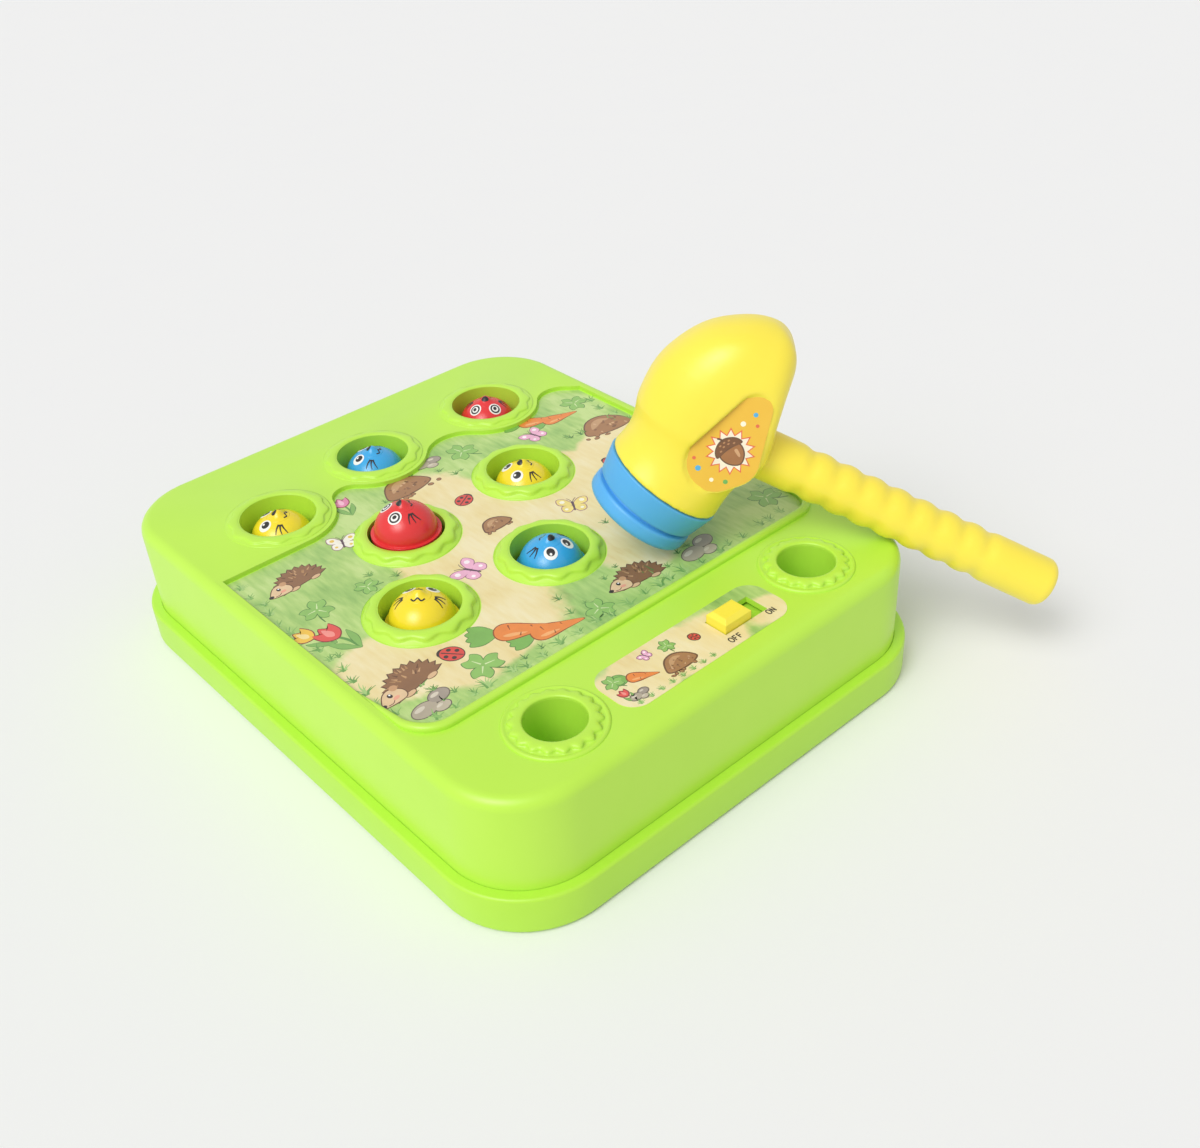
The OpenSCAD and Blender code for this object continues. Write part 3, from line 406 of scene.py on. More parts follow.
# %% Slot guards
SLOT_X, SLOT_Y, SWITCH_END = 21.1, -108.2, 9.1
GUARD_W, GUARD_D, GUARD_T, GUARD_TOP = 4.0, 7.4, 1.0, 52.55
for name, side in (("slot_guard_left", -1), ("slot_guard_right", 1)):
    near, far = SLOT_X + side * SWITCH_END, SLOT_X + side * (SWITCH_END + GUARD_W)
    points = [Vector((x, SLOT_Y + y, z)) * MM for z in (GUARD_TOP - GUARD_T, GUARD_TOP)
              for x, y in ((near, -GUARD_D), (far, -GUARD_D), (far, GUARD_D), (near, GUARD_D))]
    # painted shade: the guards take the darker copy of the lime
    piece_from(name, points, capped_loft(2, 4), lime_darker_shade, "base", smooth=False)
print("slot guards: 2")

# %% [markdown]
# ## Lip of the panel
# Along its front the panel ends in a raised, rounded lip, which throws a darker band onto the strip. The
# lip is a short section carried along the panel's outline, round both front corners, and it shrinks away
# on the sides.

# %% Panel lip
PANEL_HALF, PANEL_FRONT, PANEL_CORNER = 101.0, -82.0, 14.0
LIP = [(0.25, 54.3), (0.25, 57.3), (0.12, 57.8), (-0.25, 58.25), (-0.8, 58.55), (-1.5, 58.65), (-2.3, 58.55),
       (-2.9, 58.2), (-3.2, 57.5), (-3.2, 54.3)]
LEFT_END, LEFT_STEPS, RIGHT_END, RIGHT_STEPS = -26, 22, -40, 16
CORNER_STEP, LEFT_FADE, RIGHT_FADE, LEAST = 5, 30, 24, 0.03
corner_x, corner_y = PANEL_HALF - PANEL_CORNER, PANEL_FRONT + PANEL_CORNER
path = [((-PANEL_HALF, y), (-1.0, 0.0)) for y in np.linspace(LEFT_END, corner_y, LEFT_STEPS)[:-1]]
for side, start in ((-1, 180), (1, 270)):
    for degrees in range(start, start + 90 + CORNER_STEP, CORNER_STEP):
        n = (math.cos(math.radians(degrees)), math.sin(math.radians(degrees)))
        path.append(((side * corner_x + PANEL_CORNER * n[0], corner_y + PANEL_CORNER * n[1]), n))
path += [((PANEL_HALF, y), (1.0, 0.0)) for y in np.linspace(corner_y, RIGHT_END, RIGHT_STEPS)[1:]]
points = []
for k, (p, n) in enumerate(path):
    full = min(1.0, LEAST + k / LEFT_FADE, LEAST + (len(path) - 1 - k) / RIGHT_FADE)
    full = full * full * (3 - 2 * full)
    for out, z in LIP:
        points.append(Vector((p[0] + n[0] * out * full, p[1] + n[1] * out * full,
                              PANEL_Z + (z - PANEL_Z) * full)) * MM)
lip = piece_from("panel_lip", points, capped_loft(len(path), len(LIP)), lime, "base")
print("lip:", len(path), "sections")

# %% [markdown]
# ## Printing in layers
# A printed sheet is flat ink on film. Pictures could be an image, but drawn shapes stay sharp at any size,
# so each ink is a thin mesh of one colour, stacked a hundredth of a millimetre over the last. A closed
# loop becomes a fan around its middle, and a line becomes a ribbon that can taper. All inks of a sheet
# join into one object whose colours are stored at its points, and one ink material reads them.

# %% Curves
def spline(a, p, c, d, per):
    return [0.5 * (2 * p + (c - a) * t + (2 * a - 5 * p + 4 * c - d) * t * t
                   + (3 * p - a - 3 * c + d) * t ** 3) for t in (k / per for k in range(per))]


def smooth_loop(corners, per=6):
    corners = [Vector(c) for c in corners]
    count = len(corners)
    return [p for i in range(count)
            for p in spline(*(corners[(i + k) % count] for k in (-1, 0, 1, 2)), per)]


def smooth_line(corners, per=6):
    corners = [Vector(c) for c in corners]
    ends = [2 * corners[0] - corners[1]] + corners + [2 * corners[-1] - corners[-2]]
    return [p for i in range(1, len(ends) - 2) for p in spline(*ends[i - 1:i + 3], per)] + [corners[-1]]


def oval(x, y, rx, ry, turn=0.0, count=28):
    a = math.radians(turn)
    return [Vector((x + rx * math.cos(t) * math.cos(a) - ry * math.sin(t) * math.sin(a),
                    y + rx * math.cos(t) * math.sin(a) + ry * math.sin(t) * math.cos(a)))
            for t in (2 * math.pi * k / count for k in range(count))]


print("a loop through 3 corners has", len(smooth_loop([(0, 0), (1, 0), (0, 1)])), "points")

# %% Shapes of ink
def disc(loop, rings=1):
    middle = sum(loop, Vector((0, 0))) / len(loop)
    count = len(loop)
    points = [middle] + [middle + (p - middle) * k / rings for k in range(1, rings + 1) for p in loop]
    faces = [(0, 1 + j, 1 + (j + 1) % count) for j in range(count)]
    faces += [(1 + i * count + j, 1 + (i + 1) * count + j, 1 + (i + 1) * count + (j + 1) % count,
               1 + i * count + (j + 1) % count) for i in range(rings - 1) for j in range(count)]
    return points, faces, [1 + (rings - 1) * count + j for j in range(count)]


def ribbon(line, start, end):
    points = []
    for i, p in enumerate(line):
        along = (line[min(i + 1, len(line) - 1)] - line[max(i - 1, 0)]).normalized()
        side = Vector((-along.y, along.x)) * (start + (end - start) * i / (len(line) - 1)) / 2
        points += [p - side, p + side]
    last = len(line) - 1
    faces = [(2 * i, 2 * i + 2, 2 * i + 3, 2 * i + 1) for i in range(last)]
    rim = [2 * i for i in range(last + 1)] + [2 * i + 1 for i in range(last, -1, -1)]
    return points, faces, rim


print("a disc of 2 rings has", len(disc(oval(0, 0, 1, 1), 2)[1]), "faces")

# %% Printing
INK_STEP, INK_SHARES = 0.012, 9


def print_inks(name, inks, place, material, body, under=0.02):
    points, faces, colours = [], [], []
    for number, ((flat, quads, rim), colour, layer) in enumerate(inks):
        first, count = len(points), len(flat)
        height = INK_STEP * (layer + 1 + number % INK_SHARES / INK_SHARES)
        points += [place(p.x, p.y, height) for p in flat]
        points += [place(p.x, p.y, -under) for p in flat]
        faces += [tuple(first + i for i in q) for q in quads]
        faces += [tuple(first + count + i for i in q) for q in quads]
        faces += [(first + rim[k - 1], first + count + rim[k - 1], first + count + rim[k], first + rim[k])
                  for k in range(len(rim))]
        colours += [linear(colour)] * (2 * count)
    made = piece_from(name, points, faces, material, body, smooth=False)
    store = made.data.color_attributes.new("ink", "FLOAT_COLOR", "POINT")
    store.data.foreach_set("color", np.array(colours, np.float32).ravel())
    print(name + ":", len(inks), "inks,", len(made.data.polygons), "faces")


print("inks lie", INK_STEP, "mm apart")

# %% Ink materials
def ink_material(name, rough, mottle, coat):
    material, tree = blank(name)
    place = add(tree, "ShaderNodeTexCoord").outputs["Object"]
    stored = add(tree, "ShaderNodeVertexColor", {"layer_name": "ink"})
    cloud = add(tree, "ShaderNodeTexNoise", {"Scale": 1 / (5 * MM), "Detail": 4.0}, {"Vector": place})
    level = add(tree, "ShaderNodeMapRange", {"To Min": 1 - mottle, "To Max": 1 + mottle},
                {"Value": cloud.outputs["Fac"]})
    tone = add(tree, "ShaderNodeHueSaturation", {}, {"Value": level.outputs[0], "Color": stored.outputs[0]})
    gloss = add(tree, "ShaderNodeMapRange", {"To Min": rough - 0.03, "To Max": rough + 0.05},
                {"Value": cloud.outputs["Fac"]})
    skin = add(tree, "ShaderNodeBsdfPrincipled", {"IOR": 1.5, "Coat Weight": coat, "Coat Roughness": 0.2},
               {"Base Color": tone.outputs[0], "Roughness": gloss.outputs[0]})
    add(tree, "ShaderNodeOutputMaterial", {}, {"Surface": skin.outputs[0]})
    return material


sheet_ink = ink_material("offset ink on film, laminated", 0.42, 0.16, 0.25)
pad_ink = ink_material("pad printing ink on ABS", 0.4, 0.05, 0.0)
print("ink materials:", sheet_ink.name, "and", pad_ink.name)

# %% [markdown]
# ## The film under the inks
# The play sheet shows a meadow with a sandy clearing. Large soft areas like these have no outline, so the
# film's own material paints them: round falloffs add up to the clearing, cloud noise bends its edge, and
# long thin noise gives the green its brush strokes, about 2 mm wide.

# %% Meadow film
def meadow(name, clearings, greens, sands):
    material, tree = blank(name)
    place = add(tree, "ShaderNodeTexCoord").outputs["Object"]
    total = None
    for x, y, reach in clearings:
        spot = add(tree, "ShaderNodeMapping", {"vector_type": "TEXTURE", "Location": (x * MM, y * MM, 0),
                                               "Scale": (reach * MM, reach * MM, 10.0)}, {"Vector": place})
        glow = add(tree, "ShaderNodeTexGradient", {"gradient_type": "SPHERICAL"},
                   {"Vector": spot.outputs[0]}).outputs["Fac"]
        total = glow if total is None else add(tree, "ShaderNodeMath", {"operation": "ADD"},
                                               {0: total, 1: glow}).outputs[0]
    bend = add(tree, "ShaderNodeTexNoise", {"Scale": 1 / (14 * MM), "Detail": 4.0}, {"Vector": place})
    edge = add(tree, "ShaderNodeMath", {"operation": "MULTIPLY_ADD", 1: 0.55, 2: -0.27},
               {0: bend.outputs["Fac"]})
    field = add(tree, "ShaderNodeMath", {"operation": "ADD"}, {0: total, 1: edge.outputs[0]})
    brush = add(tree, "ShaderNodeMapping", {"Rotation": (0, 0, math.radians(35)), "Scale": (1.0, 0.22, 1.0)},
                {"Vector": place})
    strokes = add(tree, "ShaderNodeTexNoise", {"Scale": 1 / (2 * MM), "Detail": 3.0},
                  {"Vector": brush.outputs[0]})
    patches = add(tree, "ShaderNodeTexNoise", {"Scale": 1 / (26 * MM), "Detail": 2.0}, {"Vector": place})
    mixed = add(tree, "ShaderNodeMath", {"operation": "MULTIPLY_ADD", 1: 0.55},
                {0: strokes.outputs["Fac"], 2: patches.outputs["Fac"]})
    grass = add(tree, "ShaderNodeValToRGB", {}, {0: mixed.outputs[0]})
    sand = add(tree, "ShaderNodeValToRGB", {}, {0: mixed.outputs[0]})
    for ramp, tones in ((grass.color_ramp, greens), (sand.color_ramp, sands)):
        while len(ramp.elements) < len(tones):
            ramp.elements.new(0.5)
        for element, (stop, code) in zip(ramp.elements, tones):
            element.position = stop
            element.color = linear(code)
    share = add(tree, "ShaderNodeMapRange",
                {"From Min": 0.2, "From Max": 0.42, "interpolation_type": "SMOOTHSTEP"},
                {"Value": field.outputs[0]})
    tone = add(tree, "ShaderNodeMix", {"data_type": "RGBA"},
               {0: share.outputs[0], 6: grass.outputs[0], 7: sand.outputs[0]})
    skin = add(tree, "ShaderNodeBsdfPrincipled",
               {"IOR": 1.5, "Roughness": 0.38, "Coat Weight": 0.25, "Coat Roughness": 0.2},
               {"Base Color": tone.outputs[2]})
    add(tree, "ShaderNodeOutputMaterial", {}, {"Surface": skin.outputs[0]})
    return material


GREENS = [(0.45, "#82AE5A"), (0.62, "#9DC46C"), (0.78, "#B2D27A"), (0.95, "#C6DE8E")]
SANDS = [(0.45, "#E6CE8E"), (0.62, "#ECD99E"), (0.8, "#F0E0AC"), (0.95, "#F3E6BA")]
CLEARINGS = [(-86, -38, 26), (-62, -50, 30), (-34, -42, 32), (-28, -10, 38), (2, 2, 42), (32, 0, 40),
             (58, 4, 36), (-4, 42, 26), (30, -44, 28), (84, 14, 26)]
dress("play_sheet", meadow("polypropylene film, printed meadow", CLEARINGS, GREENS, SANDS))
LABEL_CLEARINGS = [(-36, -112, 20), (-16, -106, 20), (6, -112, 22), (34, -116, 14)]
dress("switch_sheet", meadow("polypropylene film, printed label", LABEL_CLEARINGS, GREENS, SANDS))
print("films:", len(CLEARINGS), "clearings on the play sheet")

# %% [markdown]
# ## Motifs of the meadow
# Every motif is a short recipe of inks around its own middle: a dark outline first, the body over it, then
# lights and marks. A placing function turns, scales and moves the recipe. The plants and animals are plain
# garden ones.

# %% Motif helpers
LINE, LEAF_LINE, DARK = "#6B4A34", "#4F7E3E", "#3A2E2C"
Place = namedtuple("Place", "x y size turn")


def at(points, place, more=0):
    a = math.radians(place.turn + more)
    c, s = math.cos(a) * place.size, math.sin(a) * place.size
    return [Vector((place.x + c * p[0] - s * p[1], place.y + s * p[0] + c * p[1])) for p in points]


def loop_at(corners, place, more=0):
    return smooth_loop(at(corners, place, more))


def stroke_at(corners, place, start, end, more=0):
    return ribbon(smooth_line(at(corners, place, more)), start, end)


def oval_at(middle, radii, place, turn=0, count=28):
    p = at([middle], place)[0]
    return oval(p.x, p.y, radii[0] * place.size, radii[1] * place.size, turn, count)


def outlined(loop, colour, layer, line=LINE, width=0.5):
    middle = sum(loop, Vector((0, 0))) / len(loop)
    wide = [p + (p - middle).normalized() * width for p in loop]
    return [(disc(wide), line, layer), (disc(loop), colour, layer + 1)]


def tuft(place, seed, tones=("#6FA052", "#8BB866", "#A9CC7E"), blades=9):
    draw = random.Random(seed)
    inks = []
    for k in range(blades):
        lean = -60 + 120 * k / (blades - 1) + draw.uniform(-8, 8)
        reach = draw.uniform(0.6, 1.0) * (1 - 0.3 * abs(lean) / 60)
        a = math.radians(lean)
        tip = (10 * reach * math.sin(a), 10 * reach * math.cos(a))
        bend = (0.35 * tip[0] + draw.uniform(-0.4, 0.4), 0.6 * tip[1])
        blade = stroke_at([(draw.uniform(-1.5, 1.5), 0), bend, tip], place, 1.3 * place.size, 0.15)
        inks.append((blade, draw.choice(tones), k % 3))
    return inks


MIDDLE = Place(0, 0, 1.0, 0)
print("a tuft of grass has", len(tuft(MIDDLE, 1)), "inks")

# %% Garden plants
def tulip(place, petal, light):
    stem = stroke_at([(0, -9), (0.6, -4), (0, 0)], place, 1.0 * place.size, 0.8 * place.size)
    inks = [(stem, "#5E9448", 1)]
    for side in (-1, 1):
        leaf = loop_at([(0, -9), (side * 3.2, -5), (side * 3.6, -0.5), (side * 1.4, -4)], place)
        inks += outlined(leaf, "#84B45E", 1, LEAF_LINE, 0.3)
    cup = [(0, -1), (-3, 1.2), (-3.2, 5.4), (-1.5, 4.2), (0, 6), (1.5, 4.2), (3.2, 5.4), (3, 1.2)]
    inks += outlined(loop_at(cup, place), petal, 3, "#8A3038", 0.45)
    return inks + [(disc(loop_at([(0, 0.4), (-1.2, 2), (0, 5), (1.2, 2)], place)), light, 5)]


def carrot(place):
    inks = []
    for lean in (-28, -10, 8, 26):
        a = math.radians(lean)
        tip = (9 * math.sin(a), 6.5 + 9 * math.cos(a))
        side = (2.0 * math.cos(a), -2.0 * math.sin(a))
        mid = (tip[0] * 0.55, 6.5 + (tip[1] - 6.5) * 0.6)
        leaf = loop_at([(0, 6.2), (mid[0] + side[0], mid[1] + side[1]), tip,
                        (mid[0] - side[0], mid[1] - side[1])], place)
        inks += outlined(leaf, "#7DB255", 0, LEAF_LINE, 0.35)
    root = loop_at([(0, -11), (-2.2, -3), (-3.8, 4), (-1.8, 7), (1.8, 7), (3.8, 4), (2.2, -3)], place)
    inks += outlined(root, "#E9883F", 2, "#8C4A22", 0.5)
    inks.append((disc(loop_at([(-1.6, 5), (-2.4, 3), (-1.3, -2), (-0.8, 2)], place)), "#F4B070", 4))
    for y, side in ((3.2, 1), (0.2, -1), (-3.2, 1)):
        mark = [(side * 3.0 * (1 - abs(y - 3) / 14), y), (side * 0.8, y - 0.4)]
        inks.append((stroke_at(mark, place, 0.5 * place.size, 0.2), "#8C4A22", 4))
    return inks


def clover(place):
    inks = [(stroke_at([(0, 0), (0.8, -4), (2.4, -7)], place, 0.8 * place.size, 0.4), LEAF_LINE, 0)]
    for turn in (0, 120, 240):
        heart = loop_at([(0, 0), (-2.8, 2.6), (-2.0, 5.2), (0, 4.2), (2.0, 5.2), (2.8, 2.6)], place, turn)
        inks += outlined(heart, "#8FBF63", 1, LEAF_LINE, 0.3)
        inks.append((stroke_at([(0, 0.6), (0, 3.4)], place, 0.5 * place.size, 0.2, turn), "#D6E6AE", 3))
    return inks


print("a carrot has", len(carrot(MIDDLE)), "inks, a clover", len(clover(MIDDLE)))

# %% Molehill and stones
def molehill(place, seed):
    draw = random.Random(seed)
    heap = [(-13, -4), (-11, 2), (-6, 7.5), (1, 9), (7, 6.5), (11.5, 1.5), (13, -4), (6, -6.5), (-6, -6.5)]
    inks = outlined(loop_at(heap, place), "#A5774F", 1, LINE, 0.7)
    light = loop_at([(-8, 0), (-4.5, 5.5), (1, 7), (5, 4), (0, 3.2), (-5, 0.5)], place)
    inks.append((disc(light), "#C49A70", 3))
    for _ in range(16):
        crumb = oval_at((draw.uniform(-10, 10), draw.uniform(-5, 4)),
                        (draw.uniform(0.5, 1.3), draw.uniform(0.4, 0.8)), place, draw.uniform(0, 180), 12)
        inks.append((disc(crumb), draw.choice(["#7C5638", "#8A6142", "#D0AA82"]), 4))
    for _ in range(6):
        clod = oval_at((draw.uniform(-16, 16), draw.uniform(-9, -6)),
                       (draw.uniform(0.8, 1.6), draw.uniform(0.6, 1.1)), place, draw.uniform(0, 180), 14)
        inks += outlined(clod, "#A5774F", 1, LINE, 0.35)
    return inks


def pebbles(place):
    inks = []
    for x, y, rx, ry, tone in ((-5, 0, 5.2, 3.4, "#B4A894"), (3.5, 1.6, 4.2, 3.0, "#A3978A"),
                               (0.4, -3.4, 3.2, 2.2, "#C4B8A2")):
        stone = oval_at((x, y), (rx, ry), place, place.turn)
        inks += outlined(stone, tone, 1, "#6E6458", 0.45)
        shift = Vector((-0.25 * rx, 0.35 * ry)) * place.size
        light = oval_at((x, y), (0.45 * rx, 0.3 * ry), place, place.turn)
        inks.append((disc([p + shift for p in light]), "#D8CEBC", 3))
    return inks


print("a molehill has", len(molehill(MIDDLE, 1)), "inks, a heap of stones", len(pebbles(MIDDLE)))

# %% Garden animals
def hedgehog(place, seed):
    draw = random.Random(seed)

    def on_back(degrees, r):
        a = math.radians(degrees)
        return 13 * r * math.cos(a), 11.5 * r * math.sin(a) - 3

    spines = [on_back(196 - 206 * k / 26, 1.0 if k % 2 == 0 else 0.84) for k in range(27)]
    inks = outlined(at(spines + [(9, -6), (-9, -6)], place), "#8C6444", 1, "#553A28", 0.5)
    for _ in range(18):
        degrees, r = draw.uniform(15, 150), draw.uniform(0.25, 0.72)
        root, a = on_back(degrees, r), math.radians(degrees)
        tip = (root[0] + 2.4 * math.cos(a), root[1] + 2.4 * math.sin(a))
        inks.append((ribbon(at([root, tip], place), 0.9 * place.size, 0.2),
                     draw.choice(["#C49A70", "#B08458", "#6A4830"]), 3))
    for x in (-6, 6):
        inks += outlined(oval_at((x, -6.4), (2.4, 1.1), place, place.turn), "#DDB88E", 2, LINE, 0.35)
    face = loop_at([(-8, -6), (-15, -5), (-17.4, -3.2), (-13, 1.4), (-8.8, 1.6), (-6, -2.4)], place)
    inks += outlined(face, "#E6C69C", 4, LINE, 0.45)
    nose = ((-17.2, -3.2), (1.3, 1.0), "#2E2220", 6)
    pupil, glint = ((-11.4, -0.8), (1.0, 1.25), "#2E2220", 6), ((-11.1, -0.3), (0.4, 0.45), "#FFFFFF", 7)
    blush, ear = ((-10.6, -3.4), (1.5, 0.9), "#EBA58C", 6), ((-7.4, 1.2), (1.7, 1.6), "#C99B72", 6)
    for middle, radii, tone, layer in (nose, pupil, glint, blush, ear):
        inks.append((disc(oval_at(middle, radii, place, place.turn, 18)), tone, layer))
    smile = [(-15.6, -4.2), (-13.6, -4.6), (-12, -3.8)]
    return inks + [(stroke_at(smile, place, 0.4 * place.size, 0.3), LINE, 6)]


def beetle(place):
    inks = [(disc(oval_at((0, 3.2), (2.0, 1.5), place, place.turn)), DARK, 0)]
    inks += outlined(oval_at((0, 0), (3.2, 3.8), place, place.turn), "#DC4C44", 1, DARK, 0.4)
    inks.append((stroke_at([(0, 3.4), (0, -3.6)], place, 0.5 * place.size, 0.4), DARK, 3))
    for dot in ((-1.6, 1.4), (1.6, 1.4), (-1.7, -1.2), (1.7, -1.2)):
        inks.append((disc(oval_at(dot, (0.75, 0.75), place, 0, 14)), DARK, 3))
    return inks


def butterfly(place, wing, spot):
    inks = []
    for side in (-1, 1):
        upper = loop_at([(0, 0.5), (side * 2.5, 4.8), (side * 5.6, 5.2), (side * 5.2, 1.6)], place)
        lower = loop_at([(0, -0.3), (side * 4.0, 0.4), (side * 4.4, -2.8), (side * 1.8, -3.8)], place)
        inks += outlined(upper, wing, 1, "#96607E", 0.35) + outlined(lower, wing, 1, "#96607E", 0.35)
        for x, y, r in ((3.8, 3.4, 1.0), (3.0, -1.8, 0.7)):
            inks.append((disc(oval_at((side * x, y), (r, r), place, 0, 14)), spot, 3))
        feeler = [(0, 2.4), (side * 0.8, 4.4), (side * 1.8, 5.6)]
        inks.append((stroke_at(feeler, place, 0.3 * place.size, 0.2), "#5A4250", 3))
    body = stroke_at([(0, -3.2), (0, 2.8)], place, 0.6 * place.size, 1.1 * place.size)
    return inks + [(body, "#5A4250", 4)]


print("a hedgehog has", len(hedgehog(MIDDLE, 1)), "inks, a beetle", len(beetle(MIDDLE)))

# %% [markdown]
# ## Laying out the play sheet
# The motifs go where no well is, and a generator with a fixed seed sets tufts of grass along the edges, so
# the picture is the same on every run. The sheet's top face is at 54.4 mm.

# %% Motifs of the play sheet
SHEET_T = 0.2
SHEET_Z = PANEL_Z + SHEET_T
RED_PETAL, GOLD_PETAL, PINK_PETAL = ("#E2574F", "#F2948A"), ("#F0C24A", "#F8E09A"), ("#E58AB0", "#F4BCD2")
PINK_WING, WHITE_WING, GOLD_WING = ("#F0B4D0", "#FFF4F8"), ("#F6F2E4", "#E8C25A"), ("#F2DC82", "#FFFBE6")


def laid_out(motifs):
    return [ink for motif, place, *more in motifs for ink in motif(Place(*place), *more)]


inks = laid_out([
    (hedgehog, (-78, 33, 0.85, 8), 1), (hedgehog, (-83, -49, 0.95, 14), 2),
    (hedgehog, (16, -61, 0.85, -4), 3),
    (molehill, (-9, 57, 0.85, 6), 3), (molehill, (86, 34, 0.9, -6), 2), (molehill, (0, 6, 0.5, 4), 5),
    (tulip, (-88, -10, 1.4, 16), *RED_PETAL), (tulip, (-95, -4, 1.2, 30), *GOLD_PETAL),
    (tulip, (-36, 64, 1.0, -8), *PINK_PETAL), (tulip, (93, 6, 1.2, -24), *RED_PETAL),
    (carrot, (-38, -56, 1.3, 58)), (carrot, (-29, -64, 1.15, 74)),
    (carrot, (66, 60, 1.05, 66)), (carrot, (75, 55, 0.95, 80)),
    (clover, (-60, -62, 1.4, 20)), (clover, (-84, 9, 1.2, -30)), (clover, (26, 63, 1.3, 15)),
    (clover, (90, 60, 1.2, 40)), (clover, (-9, -67, 1.1, -10)), (clover, (90, -60, 1.3, 30)),
    (clover, (-62, 8, 0.9, 50)),
    (beetle, (-64, -49, 1.2, 40)), (beetle, (2, 30, 1.1, -60)), (beetle, (66, 8, 1.0, 20)),
    (pebbles, (-84, -66, 1.0, 10)), (pebbles, (46, -66, 1.1, 12)), (pebbles, (90, -30, 1.0, 70)),
    (pebbles, (10, 66, 0.8, -8)),
    (butterfly, (-27, -13, 1.2, 30), *PINK_WING), (butterfly, (-52, 40, 1.0, -20), *WHITE_WING),
    (butterfly, (31, -7, 1.1, -30), *GOLD_WING), (butterfly, (58, 50, 1.0, 15), *PINK_WING)])
print("motifs:", len(inks), "inks")

# %% Grass of the play sheet
GRASS_EDGE = ([(x, -74, 10) for x in range(-88, 96, 8)] + [(-98, y, -20) for y in range(-62, 46, 8)]
              + [(97, y, 20) for y in range(-62, 60, 9)])
DARK_BLADES = ("#557F40", "#6B9A50", "#82AE5E")
BAND_TRIES, KEEP_OFF_WELL, BAND_IN, BAND_OUT = 420, 25, 0.62, 0.98
draw = random.Random(11)
for k, (x, y, lean) in enumerate(GRASS_EDGE):
    place = Place(x + draw.uniform(-2, 2), y + draw.uniform(-1, 1), draw.uniform(0.55, 0.85),
                  lean * draw.uniform(-0.6, 1.0))
    inks += tuft(place, 100 + k)
for k in range(BAND_TRIES):
    x, y = draw.uniform(-96, 96), draw.uniform(-72, 62)
    near = min(math.hypot(x - cx, y - cy) / reach for cx, cy, reach in CLEARINGS)
    free = min(math.hypot(x - wx, y - wy) for wx, wy in MOLE_AT) > KEEP_OFF_WELL
    if free and BAND_IN < near < BAND_OUT:
        inks += tuft(Place(x, y, draw.uniform(0.35, 0.6), draw.uniform(-14, 14)), 600 + k, DARK_BLADES, 5)
print_inks("play_print", inks, lambda x, y, h: Vector((x, y, SHEET_Z + h)) * MM, sheet_ink, "base")

# %% [markdown]
# ## Switch label
# A small printed label surrounds the switch. It carries the meadow again at a smaller scale and the two
# plain words of every switch. The letters are ribbons, drawn on a grid that is 3 wide and 5 high.

# %% Switch label print
LETTERS = {"O": [[(1.5, 0), (0.2, 1.2), (0.2, 3.8), (1.5, 5), (2.8, 3.8), (2.8, 1.2), (1.5, 0)]],
           "F": [[(0.3, 0), (0.3, 5)], [(0.3, 4.7), (2.8, 4.7)], [(0.3, 2.6), (2.3, 2.6)]],
           "N": [[(0.3, 0), (0.3, 5)], [(0.3, 4.8), (2.7, 0.2)], [(2.7, 0), (2.7, 5)]]}
LETTER_H, LETTER_STEP, LETTER_PEN = 5, 3.9, 0.85


def word(text, x, y, height):
    size = height / LETTER_H
    inks = []
    for k, letter in enumerate(text):
        for corners in LETTERS[letter]:
            line = at(corners, Place(x + LETTER_STEP * size * k, y, size, 0))
            path = smooth_line(line) if len(line) > 2 else line
            inks.append((ribbon(path, LETTER_PEN * size, LETTER_PEN * size), "#33302C", 4))
    return inks


label = word("OFF", 8.6, -118.2, 2.7) + word("ON", 30.0, -116.6, 2.7)
label += laid_out([
    (carrot, (-27, -108, 0.62, 62)), (clover, (-36, -104, 0.7, 10)), (clover, (-9, -102.5, 0.6, -20)),
    (molehill, (-12, -112, 0.5, 0), 7), (beetle, (1.5, -106, 0.55, 30)), (pebbles, (-33, -115, 0.45, 0)),
    (butterfly, (-18, -101.5, 0.42, 20), *PINK_WING), (tulip, (-37, -112, 0.5, 10), *RED_PETAL)])
for k, x in enumerate(range(-36, 2, 5)):
    label += tuft(Place(x, -119.0, 0.34, 0), 300 + k)
LABEL_Z = STRIP_Z + SHEET_T
print_inks("label_print", label, lambda x, y, h: Vector((x, y, LABEL_Z + h)) * MM, sheet_ink, "base")

# %% [markdown]
# ## Faces of the moles
# Each dome rises to a soft point in its middle. A cap in the same plastic gives the CAD dome that point,
# and a face that a soft pad pressed lies around it: a nose, two eyes on one side, whiskers left and right
# and a small mouth. The face is drawn flat, with distances from the point, and then wrapped over the dome,
# so a circle stays a circle. Each mole is turned its own way in its well.

# %% Mole tips
DOME_R, RIM_T, CROWN, DOME_Z = 13.0, 1.6, 12.04, 43.8
LIFT = [0.5, 1.5, 1.5, 12, 1.5, 3.5, 4.7, 0]
TIP_H, TIP_WIDE, TIP_EDGE, TIP_SHAPE = 1.95, 2.4, 4.8, 2.6
TIP_ROWS, TIP_SIDES, TIP_OVER, TIP_SUNK = 16, 40, 0.01, 0.35


def dome_top(r):
    return RIM_T + CROWN * math.sqrt(1 - (r / DOME_R) ** 2) + TIP_H * math.exp(-(r / TIP_WIDE) ** TIP_SHAPE)


